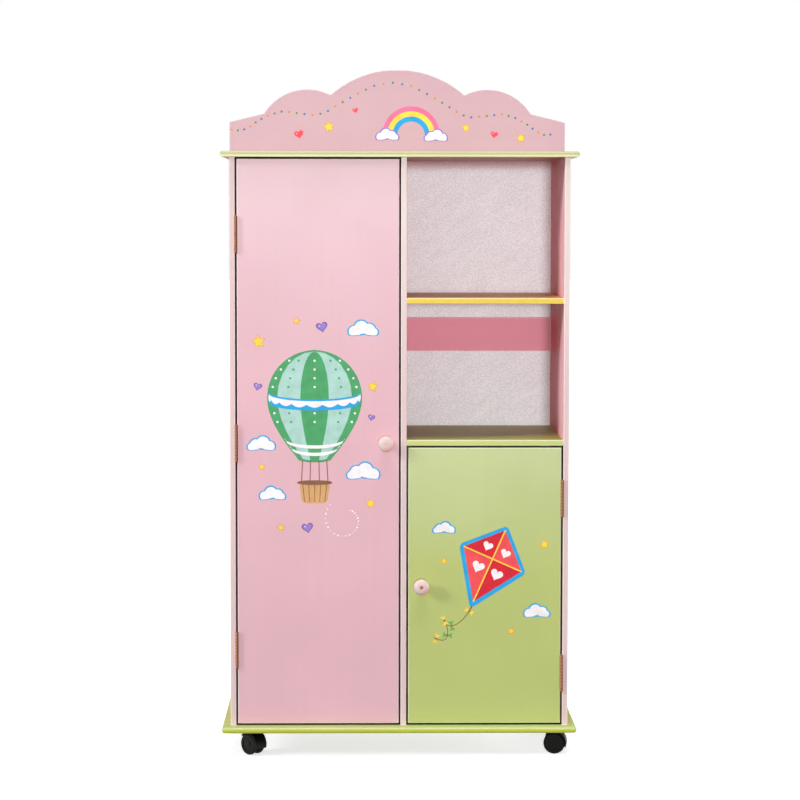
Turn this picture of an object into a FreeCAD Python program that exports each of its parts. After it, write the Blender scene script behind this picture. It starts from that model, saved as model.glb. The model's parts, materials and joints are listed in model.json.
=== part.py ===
import FreeCAD, Part
import os
import re

import Sketcher

# A kids wardrobe on casters: one tall cupboard on the left, and on the right a low cupboard
# with two open bays above it. X runs to the right, the doors face -Y, Z is up and the origin
# lies on the floor below the middle of the base board.

# Driving dimensions, in millimetres and degrees: name, value, what it measures.
SIZES = (
    ("carcass_width", 700, "outside of one side panel to the outside of the other"),
    ("carcass_depth", 380, "front edge to rear edge of a side panel"),
    ("carcass_height", 1175, "base board up to the top board"),
    ("board", 12, "thickness of the painted boards"),
    ("side_overhang", 17, "top and base boards past the side panels"),
    ("top_overhang", 20, "top board past the fronts of the side panels"),
    ("base_overhang", 30, "base board past the fronts of the side panels"),
    ("nosing_radius", 5, "rounding along the edges of the top and base boards"),
    ("corner_radius", 6, "rounding of the front corners of the top and base boards"),
    ("edge_radius", 2, "rounding of door, panel and shelf fronts"),
    ("divider_offset", 8.5, "middle of the divider, right of the middle of the carcass"),
    ("fixed_shelf_level", 582, "underside of the fixed shelf above the base board"),
    ("display_shelf_level", 875, "underside of the display shelf above the base board"),
    ("display_shelf_setback", 1.5, "front of the display shelf behind the panel fronts"),
    ("back_rail_level", 759, "lower edge of the back rail above the base board"),
    ("back_rail_height", 74, "back rail, lower edge to upper edge"),
    ("back_thickness", 3, "back panel"),
    ("back_recess", 1, "back panel in front of the rear edges"),
    ("rebate_width", 6, "rebate in the side panels that takes the back panel"),
    ("back_play", 0.5, "back panel to the end of the rebate"),
    ("door_gap", 3.6, "gap all round a door"),
    ("headboard_end", 72, "height of the headboard at its ends"),
    ("shoulder_height", 90.5, "height of the headboard where a side lobe starts"),
    ("shoulder_inset", 76, "end of the headboard to the start of a side lobe"),
    ("lobe_width", 145, "width of a side lobe"),
    ("lobe_bulge", 29.5, "side lobe above the line between its ends"),
    ("notch_height", 130.7, "height of the headboard between two lobes"),
    ("crest_height", 186, "height of the headboard at its crest"),
    ("scallop_radius", 4, "rounding where two curves of the headboard meet"),
    ("knob_diameter", 33, "rim of a knob"),
    ("knob_length", 26, "knob, door face to its top"),
    ("knob_rim", 18, "door face to the widest part of a knob"),
    ("knob_foot", 18, "diameter of a knob at the door"),
    ("knob_foot_height", 2, "straight part of a knob's foot"),
    ("knob_hollow", 2.5, "depth of the hollow turned below a knob's rim"),
    ("knob_dome", 2.2, "bulge of a knob's dome"),
    ("knob_flat", 10, "diameter of the flat on a knob's top"),
    ("knob_inset", 27, "middle of a knob to the free edge of its door"),
    ("knob_screw_diameter", 4, "machine screw that holds a knob"),
    ("knob_screw_bite", 13, "length of that screw inside the knob"),
    ("knob_screw_head", 8, "diameter of its head"),
    ("knob_screw_head_height", 2.4, "thickness of its head"),
    ("hinge_length", 76, "hinge, end to end"),
    ("hinge_leaf", 1.2, "thickness of a hinge leaf"),
    ("hinge_leaf_width", 11, "door front to the rear edge of a hinge leaf"),
    ("hinge_barrel", 6.4, "outside diameter of the hinge barrel"),
    ("hinge_pin", 3, "diameter of the hinge pin"),
    ("hinge_pin_head", 5, "diameter of the pin's button head"),
    ("hinge_pin_head_height", 1.2, "height of that head"),
    ("knuckle_gap", 0.3, "between neighbouring knuckles, and from barrel to leaf"),
    ("hinge_screw_pitch", 25, "between the screws of one leaf"),
    ("tall_hinge_inset", 154, "end of the tall door to the middle of its outer hinges"),
    ("small_hinge_inset", 105, "end of the small door to the middle of its hinges"),
    ("running_clearance", 0.05, "radial play of pins and axles"),
    ("screw_clearance", 0.1, "room round a screw or dowel in its hole"),
    ("small_screw_diameter", 3, "shank of the hinge and fitting screws"),
    ("small_screw_head", 5.4, "countersunk head of those screws"),
    ("small_screw_length", 10, "length of those screws"),
    ("carcass_screw_diameter", 4, "shank of the screws up through the base board"),
    ("carcass_screw_head", 8, "countersunk head of those screws"),
    ("carcass_screw_length", 40, "length of those screws"),
    ("joint_pitch", 200, "front to rear distance between screws or dowels of one joint"),
    ("dowel_diameter", 6, "wooden dowels"),
    ("dowel_length", 28, "length of a dowel"),
    ("dowel_bite", 8, "dowel inside the face of a board"),
    ("rail_dowel_pitch", 40, "between the two dowels at an end of the back rail"),
    ("headboard_dowel_near", 110, "middle of the headboard to its inner dowels"),
    ("headboard_dowel_far", 300, "middle of the headboard to its outer dowels"),
    ("nail_diameter", 1.2, "panel pins that hold the back"),
    ("nail_head", 3, "head of a panel pin"),
    ("nail_head_height", 0.5, "thickness of that head"),
    ("nail_length", 14, "length of a panel pin"),
    ("nail_end_inset", 60, "end of a panel to its first panel pin"),
    ("hang_rail_diameter", 19, "hanging rail"),
    ("hang_rail_wall", 1.2, "wall of the hanging rail"),
    ("hang_rail_drop", 60, "top board down to the middle of the hanging rail"),
    ("hang_rail_play", 0.5, "end of the hanging rail to its socket"),
    ("socket_fit", 0.3, "radial play of the hanging rail in a socket"),
    ("socket_flange", 38, "diameter of a rail socket's flange"),
    ("socket_flange_thickness", 3, "thickness of that flange"),
    ("socket_cup", 24, "outside diameter of a rail socket's cup"),
    ("socket_cup_length", 12, "flange to the mouth of the cup"),
    ("socket_screw_radius", 15, "middle of a socket to its screws"),
    ("catch_drop", 70, "middle of a door down to its magnetic catch"),
    ("catch_length", 30, "body of a catch, up and down"),
    ("catch_depth", 14, "body of a catch, front to rear"),
    ("catch_width", 12, "catch, divider to its outer side"),
    ("catch_ear", 10, "screw ear past each end of a catch's body"),
    ("catch_ear_thickness", 3, "thickness of a screw ear"),
    ("magnet_length", 24, "magnet, up and down"),
    ("magnet_width", 5, "magnet, side to side"),
    ("magnet_depth", 9, "magnet, front to rear"),
    ("magnet_proud", 0.6, "magnet in front of its catch"),
    ("magnet_play", 0.1, "room round the magnet in its pocket"),
    ("magnet_gap", 0.4, "magnet to the strike plate on a closed door"),
    ("strike_length", 38, "strike plate, up and down"),
    ("strike_width", 11, "strike plate, side to side"),
    ("strike_thickness", 1.2, "strike plate"),
    ("strike_inset", 1.5, "strike plate to the free edge of its door"),
    ("strike_screw_pitch", 26, "between the screws of a strike plate"),
    ("caster_height", 53, "floor to the base board"),
    ("caster_side_inset", 53.5, "caster pivot to the side edge of the base board"),
    ("caster_end_inset", 62, "caster pivot to the front or rear edge of the base board"),
    ("caster_plate", 38, "side of a square caster plate"),
    ("caster_plate_thickness", 2.5, "thickness of a caster plate"),
    ("caster_plate_corner", 4, "rounding of its corners"),
    ("caster_hole_pitch", 26, "between the screws of a caster plate"),
    ("caster_trail", 12, "caster pivot to the wheel axle, on the level"),
    ("kingpin_diameter", 6, "pivot pin of a caster"),
    ("kingpin_length", 20, "caster plate to the lower end of the pivot pin"),
    ("swivel_gap", 0.5, "caster plate to the hood, and pivot pin to the end of its bore"),
    ("boss_diameter", 12, "boss round the pivot pin"),
    ("wheel_diameter", 45, "tread of a wheel"),
    ("wheel_width", 9.5, "width of a wheel"),
    ("wheel_edge", 4, "rounding at the edges of the tread"),
    ("wheel_hub", 13, "diameter of a wheel's hub"),
    ("wheel_dish", 30, "diameter of the dish in a wheel's outer face"),
    ("wheel_dish_depth", 1.2, "depth of that dish"),
    ("wheel_cap", 2, "wall that closes the axle bore of a wheel on the outside"),
    ("wheel_side_gap", 0.5, "wheel to the web of the hood"),
    ("web_width", 10, "web of the hood between the wheels"),
    ("web_hub", 18, "diameter of the web round the axle"),
    ("hood_clearance", 0.8, "wheel tread to the hood"),
    ("hood_wall", 2.2, "wall of the hood"),
    ("hood_drop", 8, "axle down to the lower edge of the hood"),
    ("hood_side", 0.5, "hood past the outer face of a wheel"),
    ("axle_diameter", 6, "wheel axle"),
    ("axle_chamfer", 0.6, "chamfer on the ends of the axle"),
    ("axle_play", 0.3, "end of the axle to the closed end of its bore"),
    ("front_left_turn", -45, "rest angle of the front left caster"),
    ("front_right_turn", -8, "rest angle of the front right caster"),
    ("rear_left_turn", -33, "rest angle of the rear left caster"),
    ("rear_right_turn", 150, "rest angle of the rear right caster"),
)

# Places and sizes that follow from the driving dimensions.
PLACES = {
    "half_width": "carcass_width / 2",
    "half_top": "half_width + side_overhang",
    "rear": "(carcass_depth + base_overhang) / 2",
    "front": "rear - carcass_depth",
    "back_face": "rear - back_recess - back_thickness",
    "rebate_edge": "inner_right + rebate_width",
    "bay_middle": "(front + back_face) / 2",
    "base_top": "caster_height + board",
    "carcass_top": "base_top + carcass_height",
    "top_face": "carcass_top + board",
    "inner_left": "board - half_width",
    "inner_right": "half_width - board",
    "divider_left": "divider_offset - board / 2",
    "divider_right": "divider_offset + board / 2",
    "fixed_shelf_base": "base_top + fixed_shelf_level",
    "display_shelf_base": "base_top + display_shelf_level",
    "back_rail_base": "base_top + back_rail_level",
    "door_base": "base_top + door_gap",
    "door_back": "front + board",
    "tall_door_top": "carcass_top - door_gap",
    "tall_door_middle": "(door_base + tall_door_top) / 2",
    "small_door_top": "fixed_shelf_base - door_gap",
    "small_door_middle": "(door_base + small_door_top) / 2",
    "tall_door_left": "inner_left + door_gap",
    "tall_door_right": "divider_left - door_gap",
    "small_door_left": "divider_right + door_gap",
    "small_door_right": "inner_right - door_gap",
    "tall_axis": "inner_left + door_gap / 2",
    "small_axis": "inner_right - door_gap / 2",
    "hinge_line": "front - hinge_barrel / 2",
    "leaf_gap": "door_gap - 2 * hinge_leaf",
    "hang_rail_line": "carcass_top - hang_rail_drop",
    "strike_face": "door_back + strike_thickness",
    "magnet_face": "strike_face + magnet_gap",
    "catch_face": "magnet_face + magnet_proud",
    "axle_line": "wheel_diameter / 2",
    "wheel_place": "web_width / 2 + wheel_side_gap",
    "hood_half": "wheel_place + wheel_width + hood_side",
    "hood_radius": "wheel_diameter / 2 + hood_clearance + hood_wall",
    "plate_face": "caster_height - caster_plate_thickness",
    "pivot_side": "half_top - caster_side_inset",
    "pivot_end": "rear - caster_end_inset",
}

AXES = {
    "+x": FreeCAD.Vector(1, 0, 0),
    "-x": FreeCAD.Vector(-1, 0, 0),
    "+y": FreeCAD.Vector(0, 1, 0),
    "-y": FreeCAD.Vector(0, -1, 0),
    "+z": FreeCAD.Vector(0, 0, 1),
    "-z": FreeCAD.Vector(0, 0, -1),
}
KNUCKLES = 11
NAILS_PER_EDGE = 6
CLOSE = 1e-4

doc = FreeCAD.newDocument("Wardrobe")
sheet = doc.addObject("Spreadsheet::Sheet", "Sizes")
for row, (alias, number, meaning) in enumerate(SIZES, start=1):
    sheet.set("A%d" % row, alias)
    sheet.set("B%d" % row, str(number))
    sheet.set("C%d" % row, meaning)
    sheet.setAlias("B%d" % row, alias)
doc.recompute()

ALIASES = {alias for alias, number, meaning in SIZES}
pieces = {}
cutters = {}


def formula(text):
    """Spell out the places in a formula and point its sizes at their cells."""
    def spell(match):
        word = match.group(0)
        if word in PLACES:
            return "(" + formula(PLACES[word]) + ")"
        if word in ALIASES:
            return "Sizes." + word
        return word
    return re.sub(r"[a-z_]+", spell, text)


def value(text):
    """Number that a formula gives now."""
    return float(sheet.evalExpression(formula(text)))


def bind(item, **formulas):
    """Tie properties of an object to formulas."""
    for name, text in formulas.items():
        item.setExpression(name, formula(text))


def place(item, x, y, z, direction="+z"):
    """Put an object at a place, with its own Z axis turned to a direction."""
    turn = FreeCAD.Rotation(AXES["+z"], AXES[direction])
    item.Placement = FreeCAD.Placement(FreeCAD.Vector(), turn)
    for name, text in zip("xyz", (x, y, z)):
        item.setExpression("Placement.Base." + name, formula(text))


def keep(label, item):
    """Name a finished piece."""
    item.Label = label
    pieces[label] = item


def box(x, y, z, length, width, height):
    """Rectangular block from its lowest corner."""
    item = doc.addObject("Part::Box", "Block")
    bind(item, Length=length, Width=width, Height=height)
    place(item, x, y, z)
    return item


def cylinder(x, y, z, direction, length, diameter):
    """Round bar from the middle of its first end."""
    item = doc.addObject("Part::Cylinder", "Bar")
    bind(item, Height=length, Radius="(%s) / 2" % diameter)
    place(item, x, y, z, direction)
    return item


def fuse(items):
    """One solid from several that overlap."""
    item = doc.addObject("Part::MultiFuse", "Union")
    item.Shapes = items
    return item


def group(items):
    """Several separate solids as one object."""
    item = doc.addObject("Part::Compound", "Group")
    item.Links = items
    return item


def cut(base, tools):
    """A solid less several others."""
    item = doc.addObject("Part::Cut", "Drilled")
    item.Base = base
    item.Tool = group(tools)
    return item


def outline(body, plane_role, corners, bulges=None):
    """Closed sketch through corners given anticlockwise.

    bulges gives, for some edges, how far an arc swells from the straight line: a size for an
    arc that swells outwards, or a size after a minus sign for one that is hollow.
    """
    bulges = bulges or {}
    sketch = body.newObject("Sketcher::SketchObject", "Outline")
    plane = next(item for item in body.Origin.OriginFeatures if item.Role == plane_role)
    sketch.AttachmentSupport = [(plane, "")]
    sketch.MapMode = "FlatFace"
    points = [FreeCAD.Vector(value(x), value(y), 0) for x, y in corners]
    ends = []
    for index, (x, y) in enumerate(corners):
        following = (index + 1) % len(corners)
        start, end = points[index], points[following]
        if index not in bulges:
            sketch.addGeometry(Part.LineSegment(start, end))
            ends.append((1, 2))
            continue
        hollow = bulges[index].startswith("-")
        chord = end - start
        outwards = FreeCAD.Vector(chord.y, -chord.x, 0).normalize()
        middle = (start + end) / 2 + outwards * value(bulges[index])
        arc = sketch.addGeometry(Part.Arc(start, middle, end))
        ends.append((2, 1) if hollow else (1, 2))
        next_x, next_y = corners[following]
        span = "((%s - (%s))^2 + (%s - (%s))^2)" % (next_x, x, next_y, y)
        swell = bulges[index].lstrip("-")
        radius = "(%s / 4 + (%s)^2) / (2 * (%s))" % (span, swell, swell)
        limit = sketch.addConstraint(Sketcher.Constraint("Radius", arc, value(radius)))
        sketch.setExpression("Constraints[%d]" % limit, formula(radius))
    for index, (x, y) in enumerate(corners):
        following = (index + 1) % len(corners)
        meeting = Sketcher.Constraint("Coincident", index, ends[index][1], following, ends[following][0])
        sketch.addConstraint(meeting)
        for kind, text in (("DistanceX", x), ("DistanceY", y)):
            rule = Sketcher.Constraint(kind, -1, 1, index, ends[index][0], value(text))
            limit = sketch.addConstraint(rule)
            sketch.setExpression("Constraints[%d]" % limit, formula(text))
    return sketch


def padded(name, plane_role, corners, height, bulges=None):
    """Body with one sketch, drawn out to a height."""
    body = doc.addObject("PartDesign::Body", name)
    pad = body.newObject("PartDesign::Pad", "Pad")
    pad.Profile = outline(body, plane_role, corners, bulges)
    bind(pad, Length=height)
    return body, pad


def rectangle(left, right, low, high):
    """Corners of a rectangle, anticlockwise."""
    return [(left, low), (right, low), (right, high), (left, high)]


def turned(name, corners, bulges=None, plane_role="XZ_Plane"):
    """Body turned round the upright axis of its sketch: radius across, place along the axis up."""
    body = doc.addObject("PartDesign::Body", name)
    sketch = outline(body, plane_role, corners, bulges)
    turn = body.newObject("PartDesign::Revolution", "Turned")
    turn.Profile = sketch
    turn.ReferenceAxis = (sketch, ["V_Axis"])
    return body, turn


def round_edges(body, feature, radius, wanted):
    """Round those edges of a feature whose middle point passes a test."""
    doc.recompute()
    names = []
    for number, edge in enumerate(feature.Shape.Edges, start=1):
        middle = edge.valueAt((edge.FirstParameter + edge.LastParameter) / 2)
        if wanted(middle):
            names.append("Edge%d" % number)
    fillet = body.newObject("PartDesign::Fillet", "Rounded")
    fillet.Base = (feature, names)
    bind(fillet, Radius=radius)
    return fillet


def near(number, text):
    """True where a coordinate lies at a place."""
    return abs(number - value(text)) < CLOSE


def copy_at(master, x, y, z, direction):
    """Linked copy of a fastener, its tip turned to a direction."""
    item = doc.addObject("App::Link", "Copy")
    item.LinkedObject = master
    place(item, x, y, z, direction)
    return item


def drill(labels, tool):
    """Note that a hole goes through the named pieces."""
    for label in labels:
        cutters.setdefault(label, []).append(tool)


def countersunk(name, diameter, head, length, room="0"):
    """Countersunk screw with its head at the origin and its tip up, or the hole it needs."""
    shank = "%s / 2 + %s" % (diameter, room)
    rim = "%s / 2 + %s" % (head, room)
    slope = "(%s - %s) / 2" % (head, diameter)
    point = "%s / 2" % diameter
    corners = [("0", "0 - %s" % room), (rim, "0 - %s" % room)]
    if room != "0":
        corners.append((rim, "0"))
    corners += [
        (shank, slope),
        (shank, "%s + %s - %s" % (length, room, point)),
        ("0", "%s + %s" % (length, room)),
    ]
    return turned(name, corners)[0]


def headed(name, diameter, head, head_height, length, room="0"):
    """Pin or nail with a flat head that stands behind the origin and its tip up, or its hole."""
    shank = "%s / 2 + %s" % (diameter, room)
    rim = "%s / 2 + %s" % (head, room)
    corners = [
        ("0", "0 - %s" % head_height),
        (rim, "0 - %s" % head_height),
        (rim, "0"),
        (shank, "0"),
        (shank, "%s + %s" % (length, room)),
        ("0", "%s + %s" % (length, room)),
    ]
    return turned(name, corners)[0]


SMALL_SCREW = ("small_screw_diameter", "small_screw_head", "small_screw_length")
CARCASS_SCREW = ("carcass_screw_diameter", "carcass_screw_head", "carcass_screw_length")
NAIL = ("nail_diameter", "nail_head", "nail_head_height", "nail_length")
small_screw = countersunk("SmallScrew", *SMALL_SCREW)
small_screw_hole = countersunk("SmallScrewHole", *SMALL_SCREW, room="screw_clearance")
carcass_screw = countersunk("CarcassScrew", *CARCASS_SCREW)
carcass_screw_hole = countersunk("CarcassScrewHole", *CARCASS_SCREW, room="screw_clearance")
nail = headed("Nail", *NAIL)
nail_hole = headed("NailHole", *NAIL, room="screw_clearance")
fasteners = {}


def drive(node, screw, hole, labels, x, y, z, direction):
    """Screw or nail of a node, with its hole through the pieces it holds."""
    fasteners.setdefault(node, []).append(copy_at(screw, x, y, z, direction))
    drill(labels, copy_at(hole, x, y, z, direction))


def dowel(face_label, end_label, x, y, z, direction):
    """Dowel whose bite points from the end of one board into the face of another."""
    start = [x, y, z]
    mouth = [x, y, z]
    axis = "xyz".index(direction[1])
    back = "-" if direction[0] == "+" else "+"
    start[axis] += " %s (dowel_length - dowel_bite)" % back
    mouth[axis] += " %s (dowel_length - dowel_bite + screw_clearance)" % back
    peg = cylinder(*start, direction, "dowel_length", "dowel_diameter")
    fasteners.setdefault("dowels", []).append(peg)
    hole = cylinder(*mouth, direction, "dowel_length + 2 * screw_clearance",
                    "dowel_diameter + 2 * screw_clearance")
    drill([face_label, end_label], hole)


def upright_boards():
    """Side panels with a rebate for the back, and the divider."""
    height = "carcass_height"
    right = [
        ("inner_right", "front"),
        ("half_width", "front"),
        ("half_width", "rear"),
        ("rebate_edge", "rear"),
        ("rebate_edge", "back_face"),
        ("inner_right", "back_face"),
    ]
    left = [("0 - (%s)" % x, y) for x, y in reversed(right)]
    divider = rectangle("divider_left", "divider_right", "front", "back_face")
    for label, corners in (
        ("left_side_panel", left),
        ("right_side_panel", right),
        ("centre_divider", divider),
    ):
        body, pad = padded(label, "XY_Plane", corners, height)
        at_front = lambda spot: near(spot.y, "front") and near(spot.z, "carcass_height / 2")
        round_edges(body, pad, "min(edge_radius; board * 0.4)", at_front)
        place(body, "0", "0", "base_top")
        blanks[label] = body


def level_boards():
    """Top and base boards with rounded edges, which are flush with the carcass at the rear."""
    for label, overhang, level in (
        ("top_board", "top_overhang", "carcass_top"),
        ("base_board", "base_overhang", "caster_height"),
    ):
        corners = rectangle("0 - half_top", "half_top", "front - %s" % overhang, "rear")
        body, pad = padded(label, "XY_Plane", corners, "board")
        at_corner = lambda spot: near(spot.z, "board / 2") and spot.y < 0
        rounded = round_edges(body, pad, "corner_radius", at_corner)
        at_rim = lambda spot: not near(spot.z, "board / 2") and not near(spot.y, "rear")
        round_edges(body, rounded, "min(nosing_radius; board * 0.45)", at_rim)
        place(body, "0", "0", level)
        blanks[label] = body


def shelves():
    """Fixed shelf over the low cupboard, display shelf, and the rail across the back."""
    shelf_front = "front + display_shelf_setback"
    for label, corners, height, level in (
        ("fixed_shelf", ("front", "back_face"), "board", "fixed_shelf_base"),
        ("display_shelf", (shelf_front, "back_face"), "board", "display_shelf_base"),
        ("back_rail", ("back_face - board", "back_face"), "back_rail_height", "back_rail_base"),
    ):
        near_edge, far_edge = corners
        footprint = rectangle("divider_right", "inner_right", near_edge, far_edge)
        body, pad = padded(label, "XY_Plane", footprint, height)
        at_front = lambda spot: near(spot.y, near_edge) and near(spot.x, "(divider_right + inner_right) / 2")
        round_edges(body, pad, "min(edge_radius; board * 0.4)", at_front)
        place(body, "0", "0", level)
        blanks[label] = body


def back_panel():
    """Thin panel let into the rebates, between the top and base boards."""
    edge = "rebate_edge - back_play"
    corners = rectangle("0 - (%s)" % edge, edge, "back_face", "back_face + back_thickness")
    body = padded("back_panel", "XY_Plane", corners, "carcass_height")[0]
    place(body, "0", "0", "base_top")
    blanks["back_panel"] = body


def headboard():
    """Scalloped board that stands along the rear edge of the top board."""
    shoulder = "half_top - shoulder_inset"
    notch = "half_top - shoulder_inset - lobe_width"
    right = [
        ("half_top", "0"),
        ("half_top", "headboard_end"),
        (shoulder, "shoulder_height"),
        (notch, "notch_height"),
    ]
    left = [("0 - (%s)" % x, y) for x, y in reversed(right)]
    bulges = {2: "lobe_bulge", 3: "crest_height - notch_height", 4: "lobe_bulge"}
    body, pad = padded("headboard", "XZ_Plane", right + left, "board", bulges)
    at_inner_height = lambda spot: near(spot.z, "shoulder_height") or near(spot.z, "notch_height")
    at_inner = lambda spot: near(spot.y, "0 - board / 2") and at_inner_height(spot)
    eased = round_edges(body, pad, "scallop_radius", at_inner)
    at_rim = lambda spot: near(spot.y, "0 - board") and spot.z > CLOSE
    round_edges(body, eased, "min(edge_radius; board * 0.4)", at_rim)
    place(body, "0", "rear", "top_face")
    blanks["headboard"] = body


def doors():
    """Two inset doors, flush with the panel fronts, with eased front edges."""
    for label, left, right, top in (
        ("tall_door", "tall_door_left", "tall_door_right", "tall_door_top"),
        ("small_door", "small_door_left", "small_door_right", "small_door_top"),
    ):
        corners = rectangle(left, right, "front", "door_back")
        body, pad = padded(label, "XY_Plane", corners, "%s - door_base" % top)
        at_front = lambda spot: near(spot.y, "front")
        round_edges(body, pad, "min(edge_radius; board * 0.4)", at_front)
        place(body, "0", "0", "door_base")
        blanks[label] = body


def carcass_joints():
    """Screws up through the base, dowels in the other joints, and pins round the back."""
    uprights = (
        ("left_side_panel", "board / 2 - half_width"),
        ("centre_divider", "divider_offset"),
        ("right_side_panel", "half_width - board / 2"),
    )
    lines = ("bay_middle - joint_pitch / 2", "bay_middle + joint_pitch / 2")
    for label, x in uprights:
        for y in lines:
            drive("carcass_screws", carcass_screw, carcass_screw_hole, ["base_board", label],
                  x, y, "caster_height", "+z")
            dowel("top_board", label, x, y, "carcass_top", "+z")
    for label, level in (("fixed_shelf", "fixed_shelf_base"), ("display_shelf", "display_shelf_base")):
        for y in lines:
            dowel("right_side_panel", label, "inner_right", y, level + " + board / 2", "+x")
            dowel("centre_divider", label, "divider_right", y, level + " + board / 2", "-x")
    for sign in "-+":
        z = "back_rail_base + back_rail_height / 2 %s rail_dowel_pitch / 2" % sign
        y = "back_face - board / 2"
        dowel("right_side_panel", "back_rail", "inner_right", y, z, "+x")
        dowel("centre_divider", "back_rail", "divider_right", y, z, "-x")
    for sign in ("0 - ", ""):
        for reach in ("headboard_dowel_near", "headboard_dowel_far"):
            dowel("top_board", "headboard", sign + reach, "rear - board / 2", "top_face", "-z")
    pin_lines = (
        ("left_side_panel", "inner_left - rebate_width / 2"),
        ("centre_divider", "divider_offset"),
        ("right_side_panel", "inner_right + rebate_width / 2"),
    )
    for label, x in pin_lines:
        for step in range(NAILS_PER_EDGE):
            pitch = "(carcass_height - 2 * nail_end_inset) / %d" % (NAILS_PER_EDGE - 1)
            z = "base_top + nail_end_inset + %d * %s" % (step, pitch)
            drive("back_panel_pins", nail, nail_hole, ["back_panel", label],
                  x, "back_face + back_thickness", z, "-y")


def hinge_leaf(label, carrier, screws, axis, middle, side, knuckles):
    """Leaf of a butt hinge in the gap beside a door, with its knuckles and its screws."""
    bottom = "%s - hinge_length / 2" % middle
    pitch = "hinge_length / %d" % KNUCKLES
    lap = "(hinge_barrel + hinge_pin) / 4"
    inner = "%s + leaf_gap / 2" % axis
    face = inner
    if side == "left":
        inner = "%s - leaf_gap / 2 - hinge_leaf" % axis
        face = "%s - leaf_gap / 2" % axis
    strip = "hinge_line + hinge_barrel / 2 + knuckle_gap"
    width = "front + hinge_leaf_width - (%s)" % strip
    solids = [box(inner, strip, bottom, "hinge_leaf", width, "hinge_length")]
    for knuckle in knuckles:
        low = "%s + %d * %s + knuckle_gap / 2" % (bottom, knuckle, pitch)
        height = "%s - knuckle_gap" % pitch
        reach = "%s - (hinge_line + %s) + knuckle_gap" % (strip, lap)
        solids.append(box(inner, "hinge_line + %s" % lap, low, "hinge_leaf", reach, height))
        solids.append(cylinder(axis, "hinge_line", low, "+z", height, "hinge_barrel"))
    bore = cylinder(axis, "hinge_line", bottom, "+z", "hinge_length", "hinge_pin + 2 * running_clearance")
    drill([label], bore)
    into = "-x" if side == "left" else "+x"
    for step in (-1, 0, 1):
        z = "%s + (%d) * hinge_screw_pitch" % (middle, step)
        drive(screws, small_screw, small_screw_hole, [label, carrier], face, "front + board / 2", z, into)
    blanks[label] = fuse(solids)


def hinges():
    """Three butt hinges on the tall door and two on the small one, with their pins."""
    own = range(0, KNUCKLES, 2)
    other = range(1, KNUCKLES, 2)
    pin_length = "hinge_length - hinge_pin / 2"
    pin = headed("HingePin", "hinge_pin", "hinge_pin_head", "hinge_pin_head_height", pin_length)
    tall = (
        ("top", "tall_door_top - tall_hinge_inset"),
        ("middle", "tall_door_middle"),
        ("bottom", "door_base + tall_hinge_inset"),
    )
    small = (
        ("top", "small_door_top - small_hinge_inset"),
        ("bottom", "door_base + small_hinge_inset"),
    )
    pins = []
    for door, axis, places, panel, frame_side, door_side in (
        ("tall", "tall_axis", tall, "left_side_panel", "left", "right"),
        ("small", "small_axis", small, "right_side_panel", "right", "left"),
    ):
        for where, middle in places:
            frame_leaf = "%s_hinge_frame_leaf_%s" % (door, where)
            door_leaf = "%s_hinge_door_leaf_%s" % (door, where)
            hinge_leaf(frame_leaf, panel, "frame_screws", axis, middle, frame_side, own)
            hinge_leaf(door_leaf, door + "_door", door + "_door_screws", axis, middle, door_side, other)
            pins.append(copy_at(pin, axis, "hinge_line", "%s + hinge_length / 2" % middle, "-z"))
    keep("hinge_pins", group(pins))


def knobs():
    """Turned knobs, each held by a machine screw through its door."""
    bore = "knob_screw_diameter / 2 + screw_clearance"
    depth = "knob_screw_bite + screw_clearance"
    corners = [
        (bore, "0"),
        ("knob_foot / 2", "0"),
        ("knob_foot / 2", "knob_foot_height"),
        ("knob_diameter / 2", "knob_rim"),
        ("knob_flat / 2", "knob_length"),
        ("0", "knob_length"),
        ("0", depth),
        (bore, depth),
    ]
    bulges = {2: "-knob_hollow", 3: "knob_dome"}
    screw = ("knob_screw_diameter", "knob_screw_head", "knob_screw_head_height", "board + knob_screw_bite")
    for door, x, z in (
        ("tall_door", "tall_door_right - knob_inset", "tall_door_middle"),
        ("small_door", "small_door_left + knob_inset", "small_door_middle"),
    ):
        knob = turned(door + "_knob", corners, bulges)[0]
        place(knob, x, "front", z, "-y")
        keep(door + "_knob", knob)
        knob_screw = headed(door + "_knob_screw", *screw)
        place(knob_screw, x, "door_back", z, "-y")
        keep(door + "_knob_screw", knob_screw)
        drill([door], cylinder(x, "door_back", z, "-y", "board", "knob_screw_diameter + 2 * screw_clearance"))


def hanging_rail():
    """Tube across the tall cupboard, in a flanged socket at each end."""
    start = "inner_left + socket_flange_thickness + hang_rail_play"
    length = "divider_left - inner_left - 2 * (socket_flange_thickness + hang_rail_play)"
    line = ("bay_middle", "hang_rail_line", "+x", length)
    tube = cylinder(start, *line, "hang_rail_diameter")
    hollow = cylinder(start, *line, "hang_rail_diameter - 2 * hang_rail_wall")
    keep("hanging_rail", cut(tube, [hollow]))
    seat = "hang_rail_diameter / 2 + socket_fit"
    corners = [
        ("0", "0"),
        ("socket_flange / 2", "0"),
        ("socket_flange / 2", "socket_flange_thickness"),
        ("socket_cup / 2", "socket_flange_thickness"),
        ("socket_cup / 2", "socket_flange_thickness + socket_cup_length"),
        (seat, "socket_flange_thickness + socket_cup_length"),
        (seat, "socket_flange_thickness"),
        ("0", "socket_flange_thickness"),
    ]
    for label, carrier, x, out, into, face in (
        ("rail_socket_left", "left_side_panel", "inner_left", "+x", "-x",
         "inner_left + socket_flange_thickness"),
        ("rail_socket_right", "centre_divider", "divider_left", "-x", "+x",
         "divider_left - socket_flange_thickness"),
    ):
        body = turned(label, corners)[0]
        place(body, x, "bay_middle", "hang_rail_line", out)
        blanks[label] = body
        for sign in "-+":
            y = "bay_middle %s socket_screw_radius" % sign
            drive("frame_screws", small_screw, small_screw_hole, [label, carrier],
                  face, y, "hang_rail_line", into)


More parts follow.
